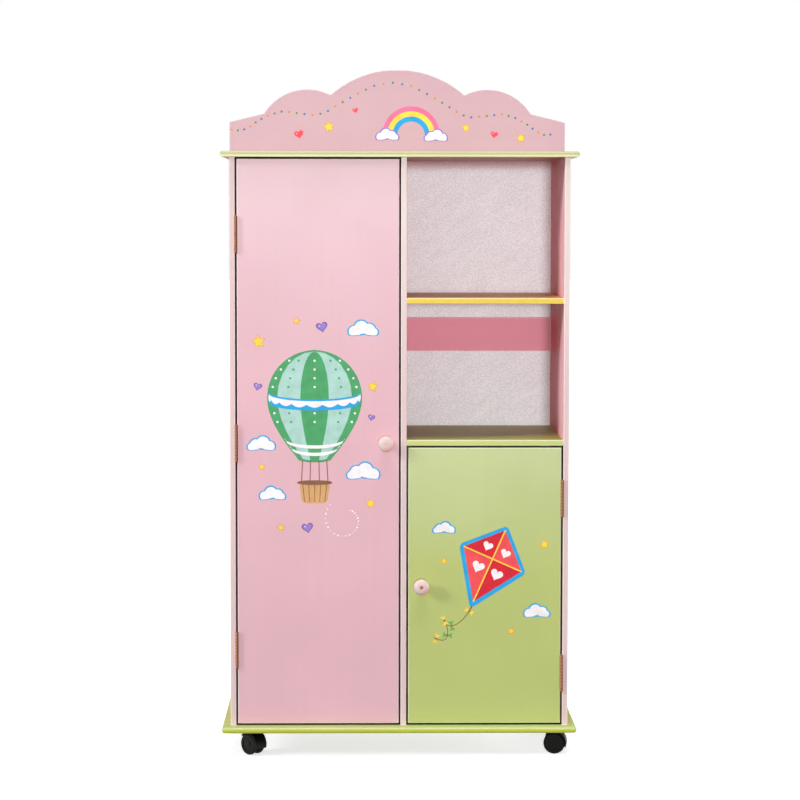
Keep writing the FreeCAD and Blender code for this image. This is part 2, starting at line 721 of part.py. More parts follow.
def catches():
    """Magnetic catch on the divider behind each door, and the strike plate on the door."""
    magnets = []
    for door, side, middle in (
        ("tall_door", "left", "tall_door_middle - catch_drop"),
        ("small_door", "right", "small_door_middle - catch_drop"),
    ):
        low = "%s - catch_length / 2" % middle
        ear_low = "%s - catch_ear" % low
        ear_height = "catch_length + 2 * catch_ear"
        body_x = "divider_right"
        ear_x = "divider_right"
        ear_face = "divider_right + catch_ear_thickness"
        magnet_x = "divider_right + (catch_width - magnet_width) / 2"
        strike_x = "small_door_left + strike_inset"
        into = "-x"
        if side == "left":
            body_x = "divider_left - catch_width"
            ear_x = "divider_left - catch_ear_thickness"
            ear_face = ear_x
            magnet_x = "divider_left - (catch_width + magnet_width) / 2"
            strike_x = "tall_door_right - strike_inset - strike_width"
            into = "+x"
        label = door + "_catch"
        block = box(body_x, "catch_face", low, "catch_width", "catch_depth", "catch_length")
        ears = box(ear_x, "catch_face", ear_low, "catch_ear_thickness", "catch_depth", ear_height)
        blanks[label] = fuse([block, ears])
        magnet_low = "%s - magnet_length / 2" % middle
        magnet = box(magnet_x, "magnet_face", magnet_low, "magnet_width", "magnet_depth", "magnet_length")
        magnets.append(magnet)
        pocket = box(magnet_x + " - magnet_play", "magnet_face", magnet_low + " - magnet_play",
                     "magnet_width + 2 * magnet_play", "magnet_depth", "magnet_length + 2 * magnet_play")
        drill([label], pocket)
        strike = door + "_strike_plate"
        blanks[strike] = box(strike_x, "door_back", "%s - strike_length / 2" % middle,
                             "strike_width", "strike_thickness", "strike_length")
        for sign in "-+":
            ear_z = "%s %s (catch_length + catch_ear) / 2" % (middle, sign)
            drive("frame_screws", small_screw, small_screw_hole, [label, "centre_divider"],
                  ear_face, "catch_face + catch_depth / 2", ear_z, into)
            strike_z = "%s %s strike_screw_pitch / 2" % (middle, sign)
            drive(door + "_screws", small_screw, small_screw_hole, [strike, door],
                  strike_x + " + strike_width / 2", "strike_face", strike_z, "-y")
    keep("catch_magnets", group(magnets))


def turn_caster_part(item, pivot_x, pivot_y, level, angle, along="0", across="0", flip="0"):
    """Put a piece on a caster: along its trail and across it, turned with the caster."""
    x = "%s + (%s) * cos(%s) - (%s) * sin(%s)" % (pivot_x, along, angle, across, angle)
    y = "%s + (%s) * sin(%s) + (%s) * cos(%s)" % (pivot_y, along, angle, across, angle)
    place(item, x, y, level)
    item.setExpression("Placement.Rotation.Angle", formula("%s + %s" % (angle, flip)))


def caster_hood():
    """Hood over the trailing side of the wheels, with a web between them and a boss for the pin."""
    length = "2 * hood_half"
    shell = cylinder("caster_trail", "0 - hood_half", "axle_line", "+y", length, "2 * hood_radius")
    low = "axle_line - hood_radius"
    nose = "caster_trail - hood_radius"
    below = box(nose, "0 - hood_half", low, "2 * hood_radius", length, "hood_radius - hood_drop")
    ahead = box(nose, "0 - hood_half", low, "0 - boss_diameter / 2 - (%s)" % nose, length,
                "2 * hood_radius")
    boss_height = "plate_face - swivel_gap - axle_line"
    boss = cylinder("0", "0", "axle_line", "+z", boss_height, "boss_diameter")
    hub = cylinder("caster_trail", "0 - web_width / 2", "axle_line", "+y", "web_width", "web_hub")
    space = "wheel_diameter + 2 * hood_clearance"
    spaces = [
        cylinder("caster_trail", "web_width / 2", "axle_line", "+y", "hood_half", space),
        cylinder("caster_trail", "0 - web_width / 2", "axle_line", "-y", "hood_half", space),
    ]
    bore_low = "plate_face - kingpin_length - swivel_gap"
    bore = cylinder("0", "0", bore_low, "+z", "kingpin_length + swivel_gap",
                    "kingpin_diameter + 2 * running_clearance")
    axle_bore = cylinder("caster_trail", "0 - web_width / 2", "axle_line", "+y", "web_width",
                         "axle_diameter + 2 * running_clearance")
    return cut(fuse([cut(shell, [below, ahead]), boss, hub]), spaces + [bore, axle_bore])


def caster_wheel(name):
    """Wheel with a rounded tread, a dished outer face and a blind bore, turned round its Y axis."""
    bore = "axle_diameter / 2 + running_clearance"
    floor = "wheel_width - wheel_dish_depth"
    corners = [
        (bore, "0"),
        ("wheel_diameter / 2", "0"),
        ("wheel_diameter / 2", "wheel_width"),
        ("wheel_dish / 2", "wheel_width"),
        ("wheel_dish / 2", floor),
        ("wheel_hub / 2", floor),
        ("wheel_hub / 2", "wheel_width"),
        ("0", "wheel_width"),
        ("0", "wheel_width - wheel_cap"),
        (bore, "wheel_width - wheel_cap"),
    ]
    body, turn = turned(name, corners, plane_role="XY_Plane")
    at_tread = lambda spot: abs(spot.x ** 2 + spot.z ** 2 - value("wheel_diameter / 2") ** 2) < CLOSE
    at_side = lambda spot: near(spot.y, "0") or near(spot.y, "wheel_width")
    at_tread_edge = lambda spot: at_tread(spot) and at_side(spot)
    round_edges(body, turn, "min(wheel_edge; wheel_width * 0.4)", at_tread_edge)
    return body


def caster_axle(name):
    """Axle with chamfered ends, turned round its own Y axis."""
    half = "wheel_place + wheel_width - wheel_cap - axle_play"
    small = "axle_diameter / 2 - axle_chamfer"
    corners = [
        ("0", "0 - (%s)" % half),
        (small, "0 - (%s)" % half),
        ("axle_diameter / 2", "axle_chamfer - (%s)" % half),
        ("axle_diameter / 2", "%s - axle_chamfer" % half),
        (small, half),
        ("0", half),
    ]
    return turned(name, corners, plane_role="XY_Plane")[0]


def casters():
    """Twin-wheel swivel caster under each corner of the base board."""
    plates = []
    kingpins = []
    for corner, pivot_x, pivot_y in (
        ("front_left", "0 - pivot_side", "0 - pivot_end"),
        ("front_right", "pivot_side", "0 - pivot_end"),
        ("rear_left", "0 - pivot_side", "pivot_end"),
        ("rear_right", "pivot_side", "pivot_end"),
    ):
        angle = corner + "_turn"
        edge = "caster_plate / 2"
        footprint = rectangle("0 - " + edge, edge, "0 - " + edge, edge)
        body, pad = padded("CasterPlate", "XY_Plane", footprint, "caster_plate_thickness")
        at_corner = lambda spot: near(spot.z, "caster_plate_thickness / 2")
        round_edges(body, pad, "caster_plate_corner", at_corner)
        place(body, pivot_x, pivot_y, "plate_face")
        holes = []
        for sign_x in "-+":
            for sign_y in "-+":
                x = "%s %s caster_hole_pitch / 2" % (pivot_x, sign_x)
                y = "%s %s caster_hole_pitch / 2" % (pivot_y, sign_y)
                drive("frame_screws", small_screw, small_screw_hole, ["base_board"], x, y, "plate_face", "+z")
                holes.append(copy_at(small_screw_hole, x, y, "plate_face", "+z"))
        plates.append(cut(body, holes))
        pin_low = "plate_face - kingpin_length"
        kingpins.append(cylinder(pivot_x, pivot_y, pin_low, "+z", "kingpin_length", "kingpin_diameter"))
        hood = caster_hood()
        turn_caster_part(hood, pivot_x, pivot_y, "0", angle)
        keep(corner + "_caster_hood", hood)
        axle = caster_axle(corner + "_axle")
        turn_caster_part(axle, pivot_x, pivot_y, "axle_line", angle, "caster_trail")
        keep(corner + "_caster_axle", axle)
        for side, across, flip in (("a", "wheel_place", "0"), ("b", "0 - wheel_place", "180")):
            wheel = caster_wheel("%s_wheel_%s" % (corner, side))
            turn_caster_part(wheel, pivot_x, pivot_y, "axle_line", angle, "caster_trail", across, flip)
            keep("%s_caster_wheel_%s" % (corner, side), wheel)
    keep("caster_plates", group(plates))
    keep("caster_kingpins", group(kingpins))


blanks = {}
upright_boards()
level_boards()
shelves()
back_panel()
headboard()
doors()
carcass_joints()
hinges()
knobs()
hanging_rail()
catches()
casters()
for label, blank in blanks.items():
    keep(label, cut(blank, cutters[label]))
for label, copies in fasteners.items():
    keep(label, group(copies))
doc.recompute()

for item in doc.Objects:
    if "Invalid" in item.State or "Error" in item.State:
        raise RuntimeError("%s did not build: %s" % (item.Label, item.State))
for label, item in pieces.items():
    shape = item.Shape
    if shape.isNull() or not shape.isValid() or not shape.Solids:
        raise RuntimeError("%s has no valid solid" % label)

os.makedirs("parts", exist_ok=True)
for label, item in pieces.items():
    item.Shape.exportStep("parts/%s.step" % label)
print("%d pieces, %d solids" % (len(pieces), sum(len(item.Shape.Solids) for item in pieces.values())))
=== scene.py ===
"""Dresses the packed kids wardrobe: paints, painted pictures, hardware finishes, studio and camera."""

import json
import math

import bpy
from mathutils import Matrix, Vector

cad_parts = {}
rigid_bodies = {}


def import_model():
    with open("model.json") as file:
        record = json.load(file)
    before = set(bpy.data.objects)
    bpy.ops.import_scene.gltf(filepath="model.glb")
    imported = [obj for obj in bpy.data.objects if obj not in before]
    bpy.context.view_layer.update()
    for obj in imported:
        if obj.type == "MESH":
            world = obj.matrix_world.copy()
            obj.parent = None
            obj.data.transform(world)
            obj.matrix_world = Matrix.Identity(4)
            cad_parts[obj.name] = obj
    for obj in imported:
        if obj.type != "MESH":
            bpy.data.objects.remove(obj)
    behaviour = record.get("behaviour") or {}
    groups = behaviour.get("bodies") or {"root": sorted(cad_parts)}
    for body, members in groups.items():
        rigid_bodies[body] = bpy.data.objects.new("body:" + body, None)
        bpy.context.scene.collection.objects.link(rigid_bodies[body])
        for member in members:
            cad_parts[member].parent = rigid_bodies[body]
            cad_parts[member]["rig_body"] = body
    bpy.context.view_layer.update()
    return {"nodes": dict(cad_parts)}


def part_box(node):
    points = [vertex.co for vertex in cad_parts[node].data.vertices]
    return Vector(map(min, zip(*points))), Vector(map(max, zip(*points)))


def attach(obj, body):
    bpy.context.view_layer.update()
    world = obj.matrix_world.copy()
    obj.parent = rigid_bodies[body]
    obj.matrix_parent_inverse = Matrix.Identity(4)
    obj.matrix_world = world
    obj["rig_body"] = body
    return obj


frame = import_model()

bl_info = {
    "name": "Kids wardrobe",
    "version": (1, 0, 0),
    "blender": (4, 5, 0),
    "location": "View3D > Sidebar > Wardrobe",
    "description": "Paints, pictures, hardware finishes, studio and camera of a kids wardrobe",
    "category": "Object",
}

MILLIMETRE = 0.001
FULL_TURN = 2 * math.pi
WHITE = (1.0, 1.0, 1.0, 1.0)
CORNERS = ("front_left", "front_right", "rear_left", "rear_right")
X, Y, Z = range(3)


# Values that a user would change

def linear(level):
    """Scene-linear value of a screen level from 0 to 255."""
    part = level / 255
    return part / 12.92 if part <= 0.04045 else ((part + 0.055) / 1.055) ** 2.4


def tone(name, description, red, green, blue):
    """Colour property whose default is given in screen levels."""
    default = tuple(linear(level) for level in (red, green, blue))
    return bpy.props.FloatVectorProperty(
        name=name, description=description, subtype="COLOR", size=3, min=0.0, max=1.0, default=default)


def span(name, description, millimetres):
    """Length property whose default is given in millimetres."""
    return bpy.props.FloatProperty(
        name=name, description=description, unit="LENGTH", subtype="DISTANCE", min=0.0, precision=5,
        default=millimetres * MILLIMETRE)


def share(name, description, default):
    """Factor property from 0 to 1."""
    return bpy.props.FloatProperty(
        name=name, description=description, subtype="FACTOR", min=0.0, max=1.0, default=default)


def amount(name, description, default):
    """Plain number property."""
    return bpy.props.FloatProperty(name=name, description=description, min=0.0, default=default)


def place(name, description, default):
    """Position property in metres."""
    return bpy.props.FloatVectorProperty(
        name=name, description=description, subtype="TRANSLATION", unit="LENGTH", size=3, default=default)


def turn(name, description, degrees):
    """Angle property whose default is given in degrees."""
    return bpy.props.FloatProperty(
        name=name, description=description, subtype="ANGLE", default=math.radians(degrees))


class BoardPaints(bpy.types.PropertyGroup):
    """Paint of the boards, and how a roller leaves it."""
    pink: tone("Pink", "Tall door and upright boards", 207, 165, 174)
    # Painted light: the upper part of the tall door is painted lighter, as if lit from above
    lit_top_pink: tone("Lit pink", "Upper part of the tall door", 214, 188, 193)
    # Painted light near the front of the inner faces, painted shade deeper and redder towards the back
    lit_inner_pink: tone("Inner pink", "Inner faces of the upright boards near the front", 252, 190, 202)
    shaded_inner_pink: tone("Deep pink", "Shaded inner faces of the upright boards near the back", 208, 76, 84)
    rail_pink: tone("Rail pink", "Back rail", 210, 136, 152)
    headboard_pink: tone("Headboard pink", "Headboard", 190, 156, 164)
    pale_pink: tone("Pale pink", "Front edges of the upright boards", 205, 180, 179)
    # Painted light: the upper part of the front edges is painted lighter
    lit_top_edge: tone("Lit edge", "Upper part of those edges", 214, 198, 193)
    # Painted shade: the narrow faces in the gaps round the doors are painted nearly black
    gap_shade: tone("Shadowed edge", "Narrow faces of the doors, and the boards that face them", 46, 22, 22)
    gap_shade_depth: span("Seal depth", "How far that shading reaches behind the fronts of the boards", 22.0)
    knob_pink: tone("Knob pink", "Turned knobs", 202, 179, 175)
    # Painted shade at the foot and the lower right of the knobs
    knob_shade: tone("Knob foot", "Knobs where they meet the door", 232, 150, 146)
    bare_spot: tone("Bare spot", "Wood in the middle of a worn knob", 150, 88, 54)
    green: tone("Green", "Small door", 170, 179, 109)
    # Painted light: the upper part of the small door is painted lighter, as if lit from above
    lit_top_green: tone("Lit green", "Upper part of the small door", 180, 189, 138)
    pale_green: tone("Pale green", "Top board", 172, 172, 126)
    # Painted highlight on the lower part of the top board's nosing
    lit_nosing_green: tone("Nosing green", "Lower nosing of the top board", 252, 250, 198)
    # Painted shade on the underside of the top board
    soffit_shade: tone("Soffit", "Underside of the top board", 170, 98, 72)
    shelf_green: tone("Shelf green", "Fixed shelf", 183, 190, 121)
    # Painted shade on the top of the fixed shelf
    shaded_olive: tone("Olive", "Top of the fixed shelf behind its front edge", 156, 154, 62)
    base_green: tone("Base green", "Base board", 175, 186, 118)
    # Painted shade on the lower part of the base board's nosing
    shaded_nosing_green: tone("Deep green", "Lower nosing of the base board", 178, 183, 50)
    end_green: tone("End green", "Upper face of the base board behind its front edge", 190, 196, 106)
    yellow: tone("Yellow", "Display shelf", 216, 186, 76)
    # Painted shade on the top of the display shelf
    shaded_orange: tone("Orange", "Top of the display shelf behind its front edge", 214, 152, 58)
    lilac: tone("Lilac", "Front of the back panel", 219, 217, 222)
    warm_shade: tone("Warm shade", "Back panel just under the boards above it", 196, 128, 128)
    hardboard: tone("Hardboard", "Bare rear of the back panel", 140, 98, 62)
    stipple_pitch: span("Stipple pitch", "Size of the bumps that the roller leaves", 1.6)
    stipple_height: span("Stipple height", "Height of those bumps", 0.12)
    peel_pitch: span("Peel pitch", "Size of the bumps on the back panel", 3.4)
    peel_height: span("Peel height", "Height of the bumps on the back panel", 0.55)
    # Pale edges: partly wear, partly painted highlight along the arrises
    rubbed_and_highlit_width: span("Rubbed width", "How far in from an edge the paint is rubbed pale", 2.8)
    rubbed_and_highlit_share: share("Rubbed share", "How pale the rubbed edges are", 0.9)
    gloss: share("Gloss", "Weight of the clear satin coat", 0.03)
    roughness: share("Roughness", "Roughness of the satin paint", 0.50)


class HardwareTones(bpy.types.PropertyGroup):
    """Colours of metal, plastic and bare wood."""
    brass: tone("Brass", "Hinge leaves and pins", 172, 122, 86)
    # Real stains and darker knuckle gaps, plus painted shade on the right side of the knuckles
    tarnish_and_shade: tone("Tarnish", "Stain on the brass, and in and beside the gaps of its knuckles", 80, 28, 24)
    steel: tone("Zinc steel", "Screws, plates and axles", 188, 190, 192)
    chrome: tone("Chrome", "Hanging rail", 214, 216, 220)
    black: tone("Black plastic", "Casters", 5, 5, 4)
    dust: tone("Dust", "Scuffed tread of the wheels", 24, 22, 19)
    white: tone("White plastic", "Rail sockets", 232, 230, 224)
    brown: tone("Brown plastic", "Catches", 52, 32, 22)
    beech: tone("Beech", "Dowels", 214, 172, 120)


class PictureTones(bpy.types.PropertyGroup):
    """Colours of the painted pictures, the thickness of their paint, and the row of dots."""
    leaf: tone("Leaf green", "Balloon's dark strips", 66, 146, 92)
    mint: tone("Mint", "Balloon's cloth", 160, 196, 186)
    sky: tone("Sky blue", "Cloud rims and bands", 34, 152, 208)
    white: tone("White", "Clouds and spots", 232, 226, 228)
    straw: tone("Straw", "Basket", 196, 150, 100)
    bark: tone("Bark brown", "Ropes and weave", 122, 82, 52)
    sun: tone("Sun yellow", "Stars", 238, 200, 66)
    amber: tone("Amber", "Rims of the stars", 216, 150, 52)
    violet: tone("Violet", "Hearts", 138, 116, 186)
    plum: tone("Plum", "Rims of the hearts", 98, 78, 142)
    red: tone("Red", "Kite", 196, 26, 44)
    coral: tone("Coral", "Kite's lighter half", 222, 74, 78)
    rose: tone("Rose", "Rainbow's outer band", 226, 106, 142)
    grass: tone("Grass green", "Bows", 92, 156, 74)
    dot_yellow: tone("Dot yellow", "Every third dot on the headboard", 200, 140, 34)
    dot_green: tone("Dot green", "Every third dot on the headboard", 72, 130, 76)
    dot_blue: tone("Dot blue", "Every third dot on the headboard", 26, 114, 166)
    dot_radius: span("Dot radius", "Dots along the headboard", 2.4)
    middle_pitch: span("Middle pitch", "Distance between those dots in the middle of their line", 20.5)
    end_pitch: span("End pitch", "Distance between those dots at the ends of their line", 13.5)
    film: span("Film", "Thickness of one layer of paint", 0.12)


class Studio(bpy.types.PropertyGroup):
    """Floor, light and camera."""
    camera_place: place("Camera place", "Where the photograph was taken from", (-0.0820, -5.4603, 1.1210))
    camera_yaw: turn("Camera yaw", "Turn towards the right", 0.897)
    camera_pitch: turn("Camera pitch", "Tilt downwards", 4.1006)
    camera_roll: turn("Camera roll", "Turn about the line of sight", -0.0744)
    focal_length: amount("Focal length", "Millimetres on a 36 mm sensor", 115.816)
    floor_radius: amount("Floor radius", "Metres", 40.0)
    floor_tone: tone("Floor", "Pale floor", 226, 226, 225)
    floor_glow: share("Floor glow", "Light of the floor itself, which keeps its shadows pale", 0.7)
    room_strength: amount("Room light", "Even light from all round", 0.06)
    front_strength: amount("Front light", "Soft light from beside the camera", 2.6)
    side_strength: amount("Side light", "Soft light from the upper left", 1.9)
    fill_strength: amount("Fill light", "Soft light from the right", 1.7)
    back_strength: amount("Back light", "Soft light from behind", 2.2)
    top_strength: amount("Top light", "Soft light from above", 2.1)
    lamp_power: amount("Lamp power", "Watts of the square lamp before the upper half", 10.0)


SETTINGS = {
    "board_paints": BoardPaints,
    "hardware_tones": HardwareTones,
    "picture_tones": PictureTones,
    "studio": Studio,
}


# Shader values and materials

class Shade:
    """A shader socket whose arithmetic adds Math nodes."""

    def __init__(self, finish, socket):
        self.finish = finish
        self.socket = socket

    def math(self, operation, *others):
        """This value, and others after it, through a Math node."""
        return self.finish.math(operation, self, *others)

    def __add__(self, other):
        return self.math("ADD", other)

    def __radd__(self, other):
        return self.finish.math("ADD", other, self)

    def __sub__(self, other):
        return self.math("SUBTRACT", other)

    def __rsub__(self, other):
        return self.finish.math("SUBTRACT", other, self)

    def __mul__(self, other):
        return self.math("MULTIPLY", other)

    def __rmul__(self, other):
        return self.finish.math("MULTIPLY", other, self)

    def least(self, other):
        return self.math("MINIMUM", other)

    def most(self, other):
        return self.math("MAXIMUM", other)

    def swing(self, width):
        """A value that wavers about a half, as a swing of this width about zero."""
        return (self - 0.5) * width

    def ramp(self, start, end):
        """0 before start and 1 after end, with a smooth step between, whichever of them is larger."""
        sockets = {"Value": self, "From Min": start, "From Max": end}
        return self.finish.add("ShaderNodeMapRange", {"interpolation_type": "SMOOTHSTEP"}, sockets)


class Finish:
    """A procedural material: a Principled shader, its constants and the nodes that feed it."""

    def __init__(self, name, constants=None):
        self.material = bpy.data.materials.new(name)
        self.material.use_nodes = True
        self.tree = self.material.node_tree
        self.shader = self.tree.nodes["Principled BSDF"]
        for socket, constant in (constants or {}).items():
            self.feed(socket, constant)
        self.place = self.add("ShaderNodeTexCoord", output="Object")
        split = self.add("ShaderNodeSeparateXYZ", sockets={0: self.place})
        self.axes = [Shade(self, output) for output in split.socket.node.outputs]
        self.x, self.y, self.z = self.axes

    def add(self, kind, settings=None, sockets=None, output=0):
        """New node with its settings, and then the values or links of its sockets."""
        node = self.tree.nodes.new(kind)
        for setting, choice in (settings or {}).items():
            setattr(node, setting, choice)
        for socket, source in (sockets or {}).items():
            self.join(source, node.inputs[socket])
        return Shade(self, node.outputs[output])

    def join(self, source, socket):
        if isinstance(source, Shade):
            self.tree.links.new(source.socket, socket)
        else:
            socket.default_value = source

    def feed(self, socket, source):
        self.join(source, self.shader.inputs[socket])

    def math(self, operation, *operands):
        return self.add("ShaderNodeMath", {"operation": operation}, dict(enumerate(operands)))

    def vector(self, operation, *operands, output=0):
        return self.add("ShaderNodeVectorMath", {"operation": operation}, dict(enumerate(operands)), output)

    def noise(self, scale, detail=2.0, vector=None, distortion=0.0):
        sockets = {
            "Vector": vector or self.place, "Scale": scale, "Detail": detail, "Distortion": distortion}
        return self.add("ShaderNodeTexNoise", sockets=sockets)

    def grain(self, scales, detail=2.0, lean=0.0, distortion=0.0):
        """Noise with a scale for each axis, leaning about the Y axis."""
        source = self.place
        if lean:
            source = self.add("ShaderNodeMapping", sockets={"Vector": source, "Rotation": (0.0, lean, 0.0)})
        stretched = self.add("ShaderNodeMapping", sockets={"Vector": source, "Scale": scales})
        return self.noise(1.0, detail, vector=stretched, distortion=distortion)

    def blend(self, factor, first, second):
        """Mix of two colours."""
        sockets = {0: factor, 6: opaque(first), 7: opaque(second)}
        return self.add("ShaderNodeMix", {"data_type": "RGBA"}, sockets, output=2)

    def mottled(self, factor, colour, darkest, lightest):
        """Colour that goes from one multiple of itself to another."""
        return self.blend(factor, shaded(colour, darkest), shaded(colour, lightest))

    def tinted(self, colour, factor):
        """Colour times a varying factor."""
        grey = self.add("ShaderNodeCombineColor", sockets={0: factor, 1: factor, 2: factor})
        settings = {"data_type": "RGBA", "blend_type": "MULTIPLY"}
        return self.add("ShaderNodeMix", settings, {0: 1.0, 6: opaque(colour), 7: grey}, output=2)

    def coat(self, colour, roughness, height, distance, strength):
        """Feeds the shader its colour, its roughness and the height of its bumps."""
        bump = {"Height": height, "Distance": distance, "Strength": strength}
        self.feed("Base Color", colour)
        self.feed("Roughness", roughness)
        self.feed("Normal", self.add("ShaderNodeBump", sockets=bump))
        return self


def opaque(colour):
    """Colour with an alpha of 1, or a socket as it is."""
    return colour if isinstance(colour, Shade) else (*colour, 1.0)


def shaded(colour, factor):
    """Colour times a factor, kept within 0 to 1."""
    return tuple(min(1.0, channel * factor) for channel in colour)


def dress(node, finish):
    """Gives every material slot of a CAD node this finish."""
    for slot in frame["nodes"][node].material_slots:
        slot.material = finish.material


class Masks:
    """Masks of the faces and edges of a node, made from its box for one finish. Lengths are in metres."""

    def __init__(self, node, finish):
        self.finish = finish
        self.low, self.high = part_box(node)
        self.size = self.high - self.low

    def inset(self, axis):
        """Distance from the nearer end of the box along an axis."""
        spot = self.finish.axes[axis]
        return (spot - self.low[axis]).least(self.high[axis] - spot)

    def behind(self, start, end):
        """Mask that grows from one depth behind the front to another."""
        return self.finish.y.ramp(self.low.y + start, self.low.y + end)

    def below(self, start, end):
        """Mask that grows from one depth below the top to another."""
        return self.finish.z.ramp(self.high.z - start, self.high.z - end)

    def rubbed_and_highlit_edge(self, width, jitter):
        """Mask of the arrises of a board, with an uneven inner border."""
        across, deep, along = (self.inset(axis) for axis in (X, Y, Z))
        middle = across.least(deep).most(across.most(deep).least(along))
        return (middle + jitter.swing(width)).ramp(width, 0.0)

    def front_edge(self, fade=(0.0035, 0.0012)):
        """Mask of the front edge of an upright board."""
        return self.behind(*fade)

    def upper_part(self, start, end, patch_scale=7.0, patch_reach=0.2):
        """Mask that grows from one share of the height to another, with an uneven border."""
        height = self.size.z
        patch = self.finish.noise(patch_scale).swing(patch_reach * height)
        return (self.finish.z + patch).ramp(self.low.z + start * height, self.low.z + end * height)

    def lit_top_edge(self, start, end):
        """Mask of the upper part of the front edge of an upright board, which painted light makes lighter."""
        return self.front_edge() * self.upper_part(start, end)

    def lower_nosing(self, start, end, fade=(0.009, 0.002)):
        """Mask of the front of a level board that grows from one depth below its top to another."""
        return self.behind(*fade) * self.below(start, end)

    def inner_face(self, side, fade=(0.004, 0.001)):
        """Mask of the face of an upright board on its side -1 or 1."""
        face = self.low.x if side < 0 else self.high.x
        return ((self.finish.x - face) * -side).ramp(*fade)

    def deep_face(self, side, start=0.03, margin=0.13):
        """Mask of such a face that grows from a depth behind its front to a margin before its rear."""
        return self.inner_face(side) * self.behind(start, self.size.y - margin)

    def gap_shade_face(self, side, ceiling, depth, fade=0.004, ceiling_fade=0.002):
        """Mask of such a face round a door, where shade is painted in the gap: its front, down to a depth,
        below a cupboard's ceiling.
        """
        under = self.finish.z.ramp(ceiling + ceiling_fade, ceiling - ceiling_fade)
        return self.inner_face(side) * under * self.behind(depth + fade, depth)

    def narrow_faces(self, fade=(0.0008, 0.0003), arris=(0.002, 0.004)):
        """Mask of the four narrow faces of a door, behind their front arris, where shade is painted in the
        gaps.
        """
        return self.inset(X).least(self.inset(Z)).ramp(*fade) * self.behind(*arris)

    def upper_face(self, depth, fade=0.012, skin=0.003):
        """Mask of the upper face of a level board behind a depth from its front."""
        return self.behind(depth, depth + fade) * self.below(skin, 0.0)

    def gap_shade_floor(self, depth, fade=0.004, side_fade=0.001):
        """Mask of the upper face of the base board between the panels, down to a depth behind the doors,
        where shade is painted in the gap.
        """
        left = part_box("left_side_panel")[1].x
        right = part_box("right_side_panel")[0].x
        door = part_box("tall_door")[0].y - self.low.y
        inside = (self.finish.x - left).least(right - self.finish.x).ramp(0.0, side_fade)
        return self.upper_face(door) * inside * self.behind(door + depth + fade, door + depth)

    def soffit_shade(self, nosing=(0.02, 0.03), skin=0.003):
        """Mask of the underside of a level board behind its nosing, where shade is painted."""
        return self.behind(*nosing) * self.below(self.size.z - skin, self.size.z)

    def shade(self, reach=0.022, full=0.004, fade=0.002):
        """Mask of what lies under a level board, from where it reaches to where it is full."""
        height = self.finish.z
        grown = height.ramp(self.low.z - reach, self.low.z - full)
        under = height.ramp(self.low.z + fade, self.low.z)
        return self.inset(X).ramp(0.0, fade) * grown * under


# What the worn and painted-highlight edges are mixed with and how far, and noise scales across and along a
# board's streaks
RUBBED_AND_HIGHLIT_WHITE = (0.92, 0.90, 0.84)
RUBBED_AND_HIGHLIT_MIX = 0.42
STREAK_ACROSS = 90.0
STREAK_ALONG = 3.0


def board_paint(node, colour, *tints):
    """Satin paint from a roller: stipple, faint streaks along the board, and paler edges, partly worn and
    partly painted highlight.

    Each tint is a colour, the mask that brings it in, and the values that the mask takes.
    """
    paints = bpy.context.scene.board_paints
    constants = {"Coat Weight": paints.gloss, "Coat Roughness": 0.25, "Specular IOR Level": 0.25}
    finish = Finish(node + "_paint", constants)
    board = Masks(node, finish)
    longest = max((X, Y, Z), key=lambda axis: board.size[axis])
    streak_scales = [STREAK_ALONG if axis == longest else STREAK_ACROSS for axis in (X, Y, Z)]
    stipple = finish.noise(scale=1 / paints.stipple_pitch, detail=3.0)
    cloud = finish.noise(scale=5.0, detail=3.0)
    streak = finish.grain(streak_scales, detail=3.0)
    rubbed_and_highlit = board.rubbed_and_highlit_edge(paints.rubbed_and_highlit_width, finish.noise(scale=140.0, detail=4.0))
    base = colour
    for tint, mask, *values in tints:
        base = finish.blend(mask(board, *values), base, tint)
    uneven = (cloud * 0.8 + streak * 0.2).ramp(0.25, 0.75)
    base = finish.tinted(base, 0.965 + uneven * 0.065)
    # Paler edges: partly wear, partly painted highlight
    worn = finish.blend(RUBBED_AND_HIGHLIT_MIX, base, RUBBED_AND_HIGHLIT_WHITE)
    base = finish.blend(rubbed_and_highlit * paints.rubbed_and_highlit_share, base, worn)
    roughness = paints.roughness + stipple.swing(0.12) + rubbed_and_highlit * 0.1 + cloud.swing(0.1)
    height = stipple * 0.8 + streak * 0.2
    return finish.coat(base, roughness, height, paints.stipple_height, strength=0.35)


# Lean of the brush strokes, and the distances before the rear over which paint gives way to bare fibre
BRUSH_LEAN = math.radians(35)
BARE_SKIN = (0.0012, 0.0006)


def back_panel_finish():
    """Thin board: rough paint in front, painted warm shade under the boards above it, and bare pressed fibre
    behind.
    """
    paints = bpy.context.scene.board_paints
    finish = Finish("back_panel_paint", {"Coat Weight": paints.gloss / 2, "Coat Roughness": 0.4})
    peel = finish.noise(scale=1 / paints.peel_pitch)
    fine = finish.noise(scale=1.8 / paints.peel_pitch, detail=1.0)
    swept = finish.grain((16.0, 16.0, 60.0), detail=3.0, lean=BRUSH_LEAN, distortion=0.5)
    fibre = finish.grain((900.0, 900.0, 260.0), detail=5.0)
    height = peel * 0.5 + fine * 0.35 + swept * 0.15
    painted = finish.mottled(height.ramp(0.36, 0.64), paints.lilac, darkest=0.83, lightest=1.10)
    for board in ("top_board", "display_shelf"):
        painted = finish.blend(Masks(board, finish).shade() * 0.5, painted, paints.warm_shade)
    bare = finish.mottled(fibre, paints.hardboard, darkest=0.7, lightest=1.25)
    panel = Masks("back_panel", finish)
    rear = panel.behind(*(panel.size.y - depth for depth in BARE_SKIN))
    base = finish.blend(rear, painted, bare)
    roughness = 0.5 + rear * 0.25 + fine.swing(0.1)
    height = height * (1 - rear) + fibre * rear * 0.2
    return finish.coat(base, roughness, height, paints.peel_height, strength=0.7)


# Distances in metres: painted shade at the foot from both ends of a knob, painted shade at the lower right
# from its middle line, bare wood from its axis
FOOT_MARGIN = 0.004
LOWER_RIGHT_SHADE_FADE = (0.005, 0.020)
BARE_FADE = (0.0046, 0.0028)


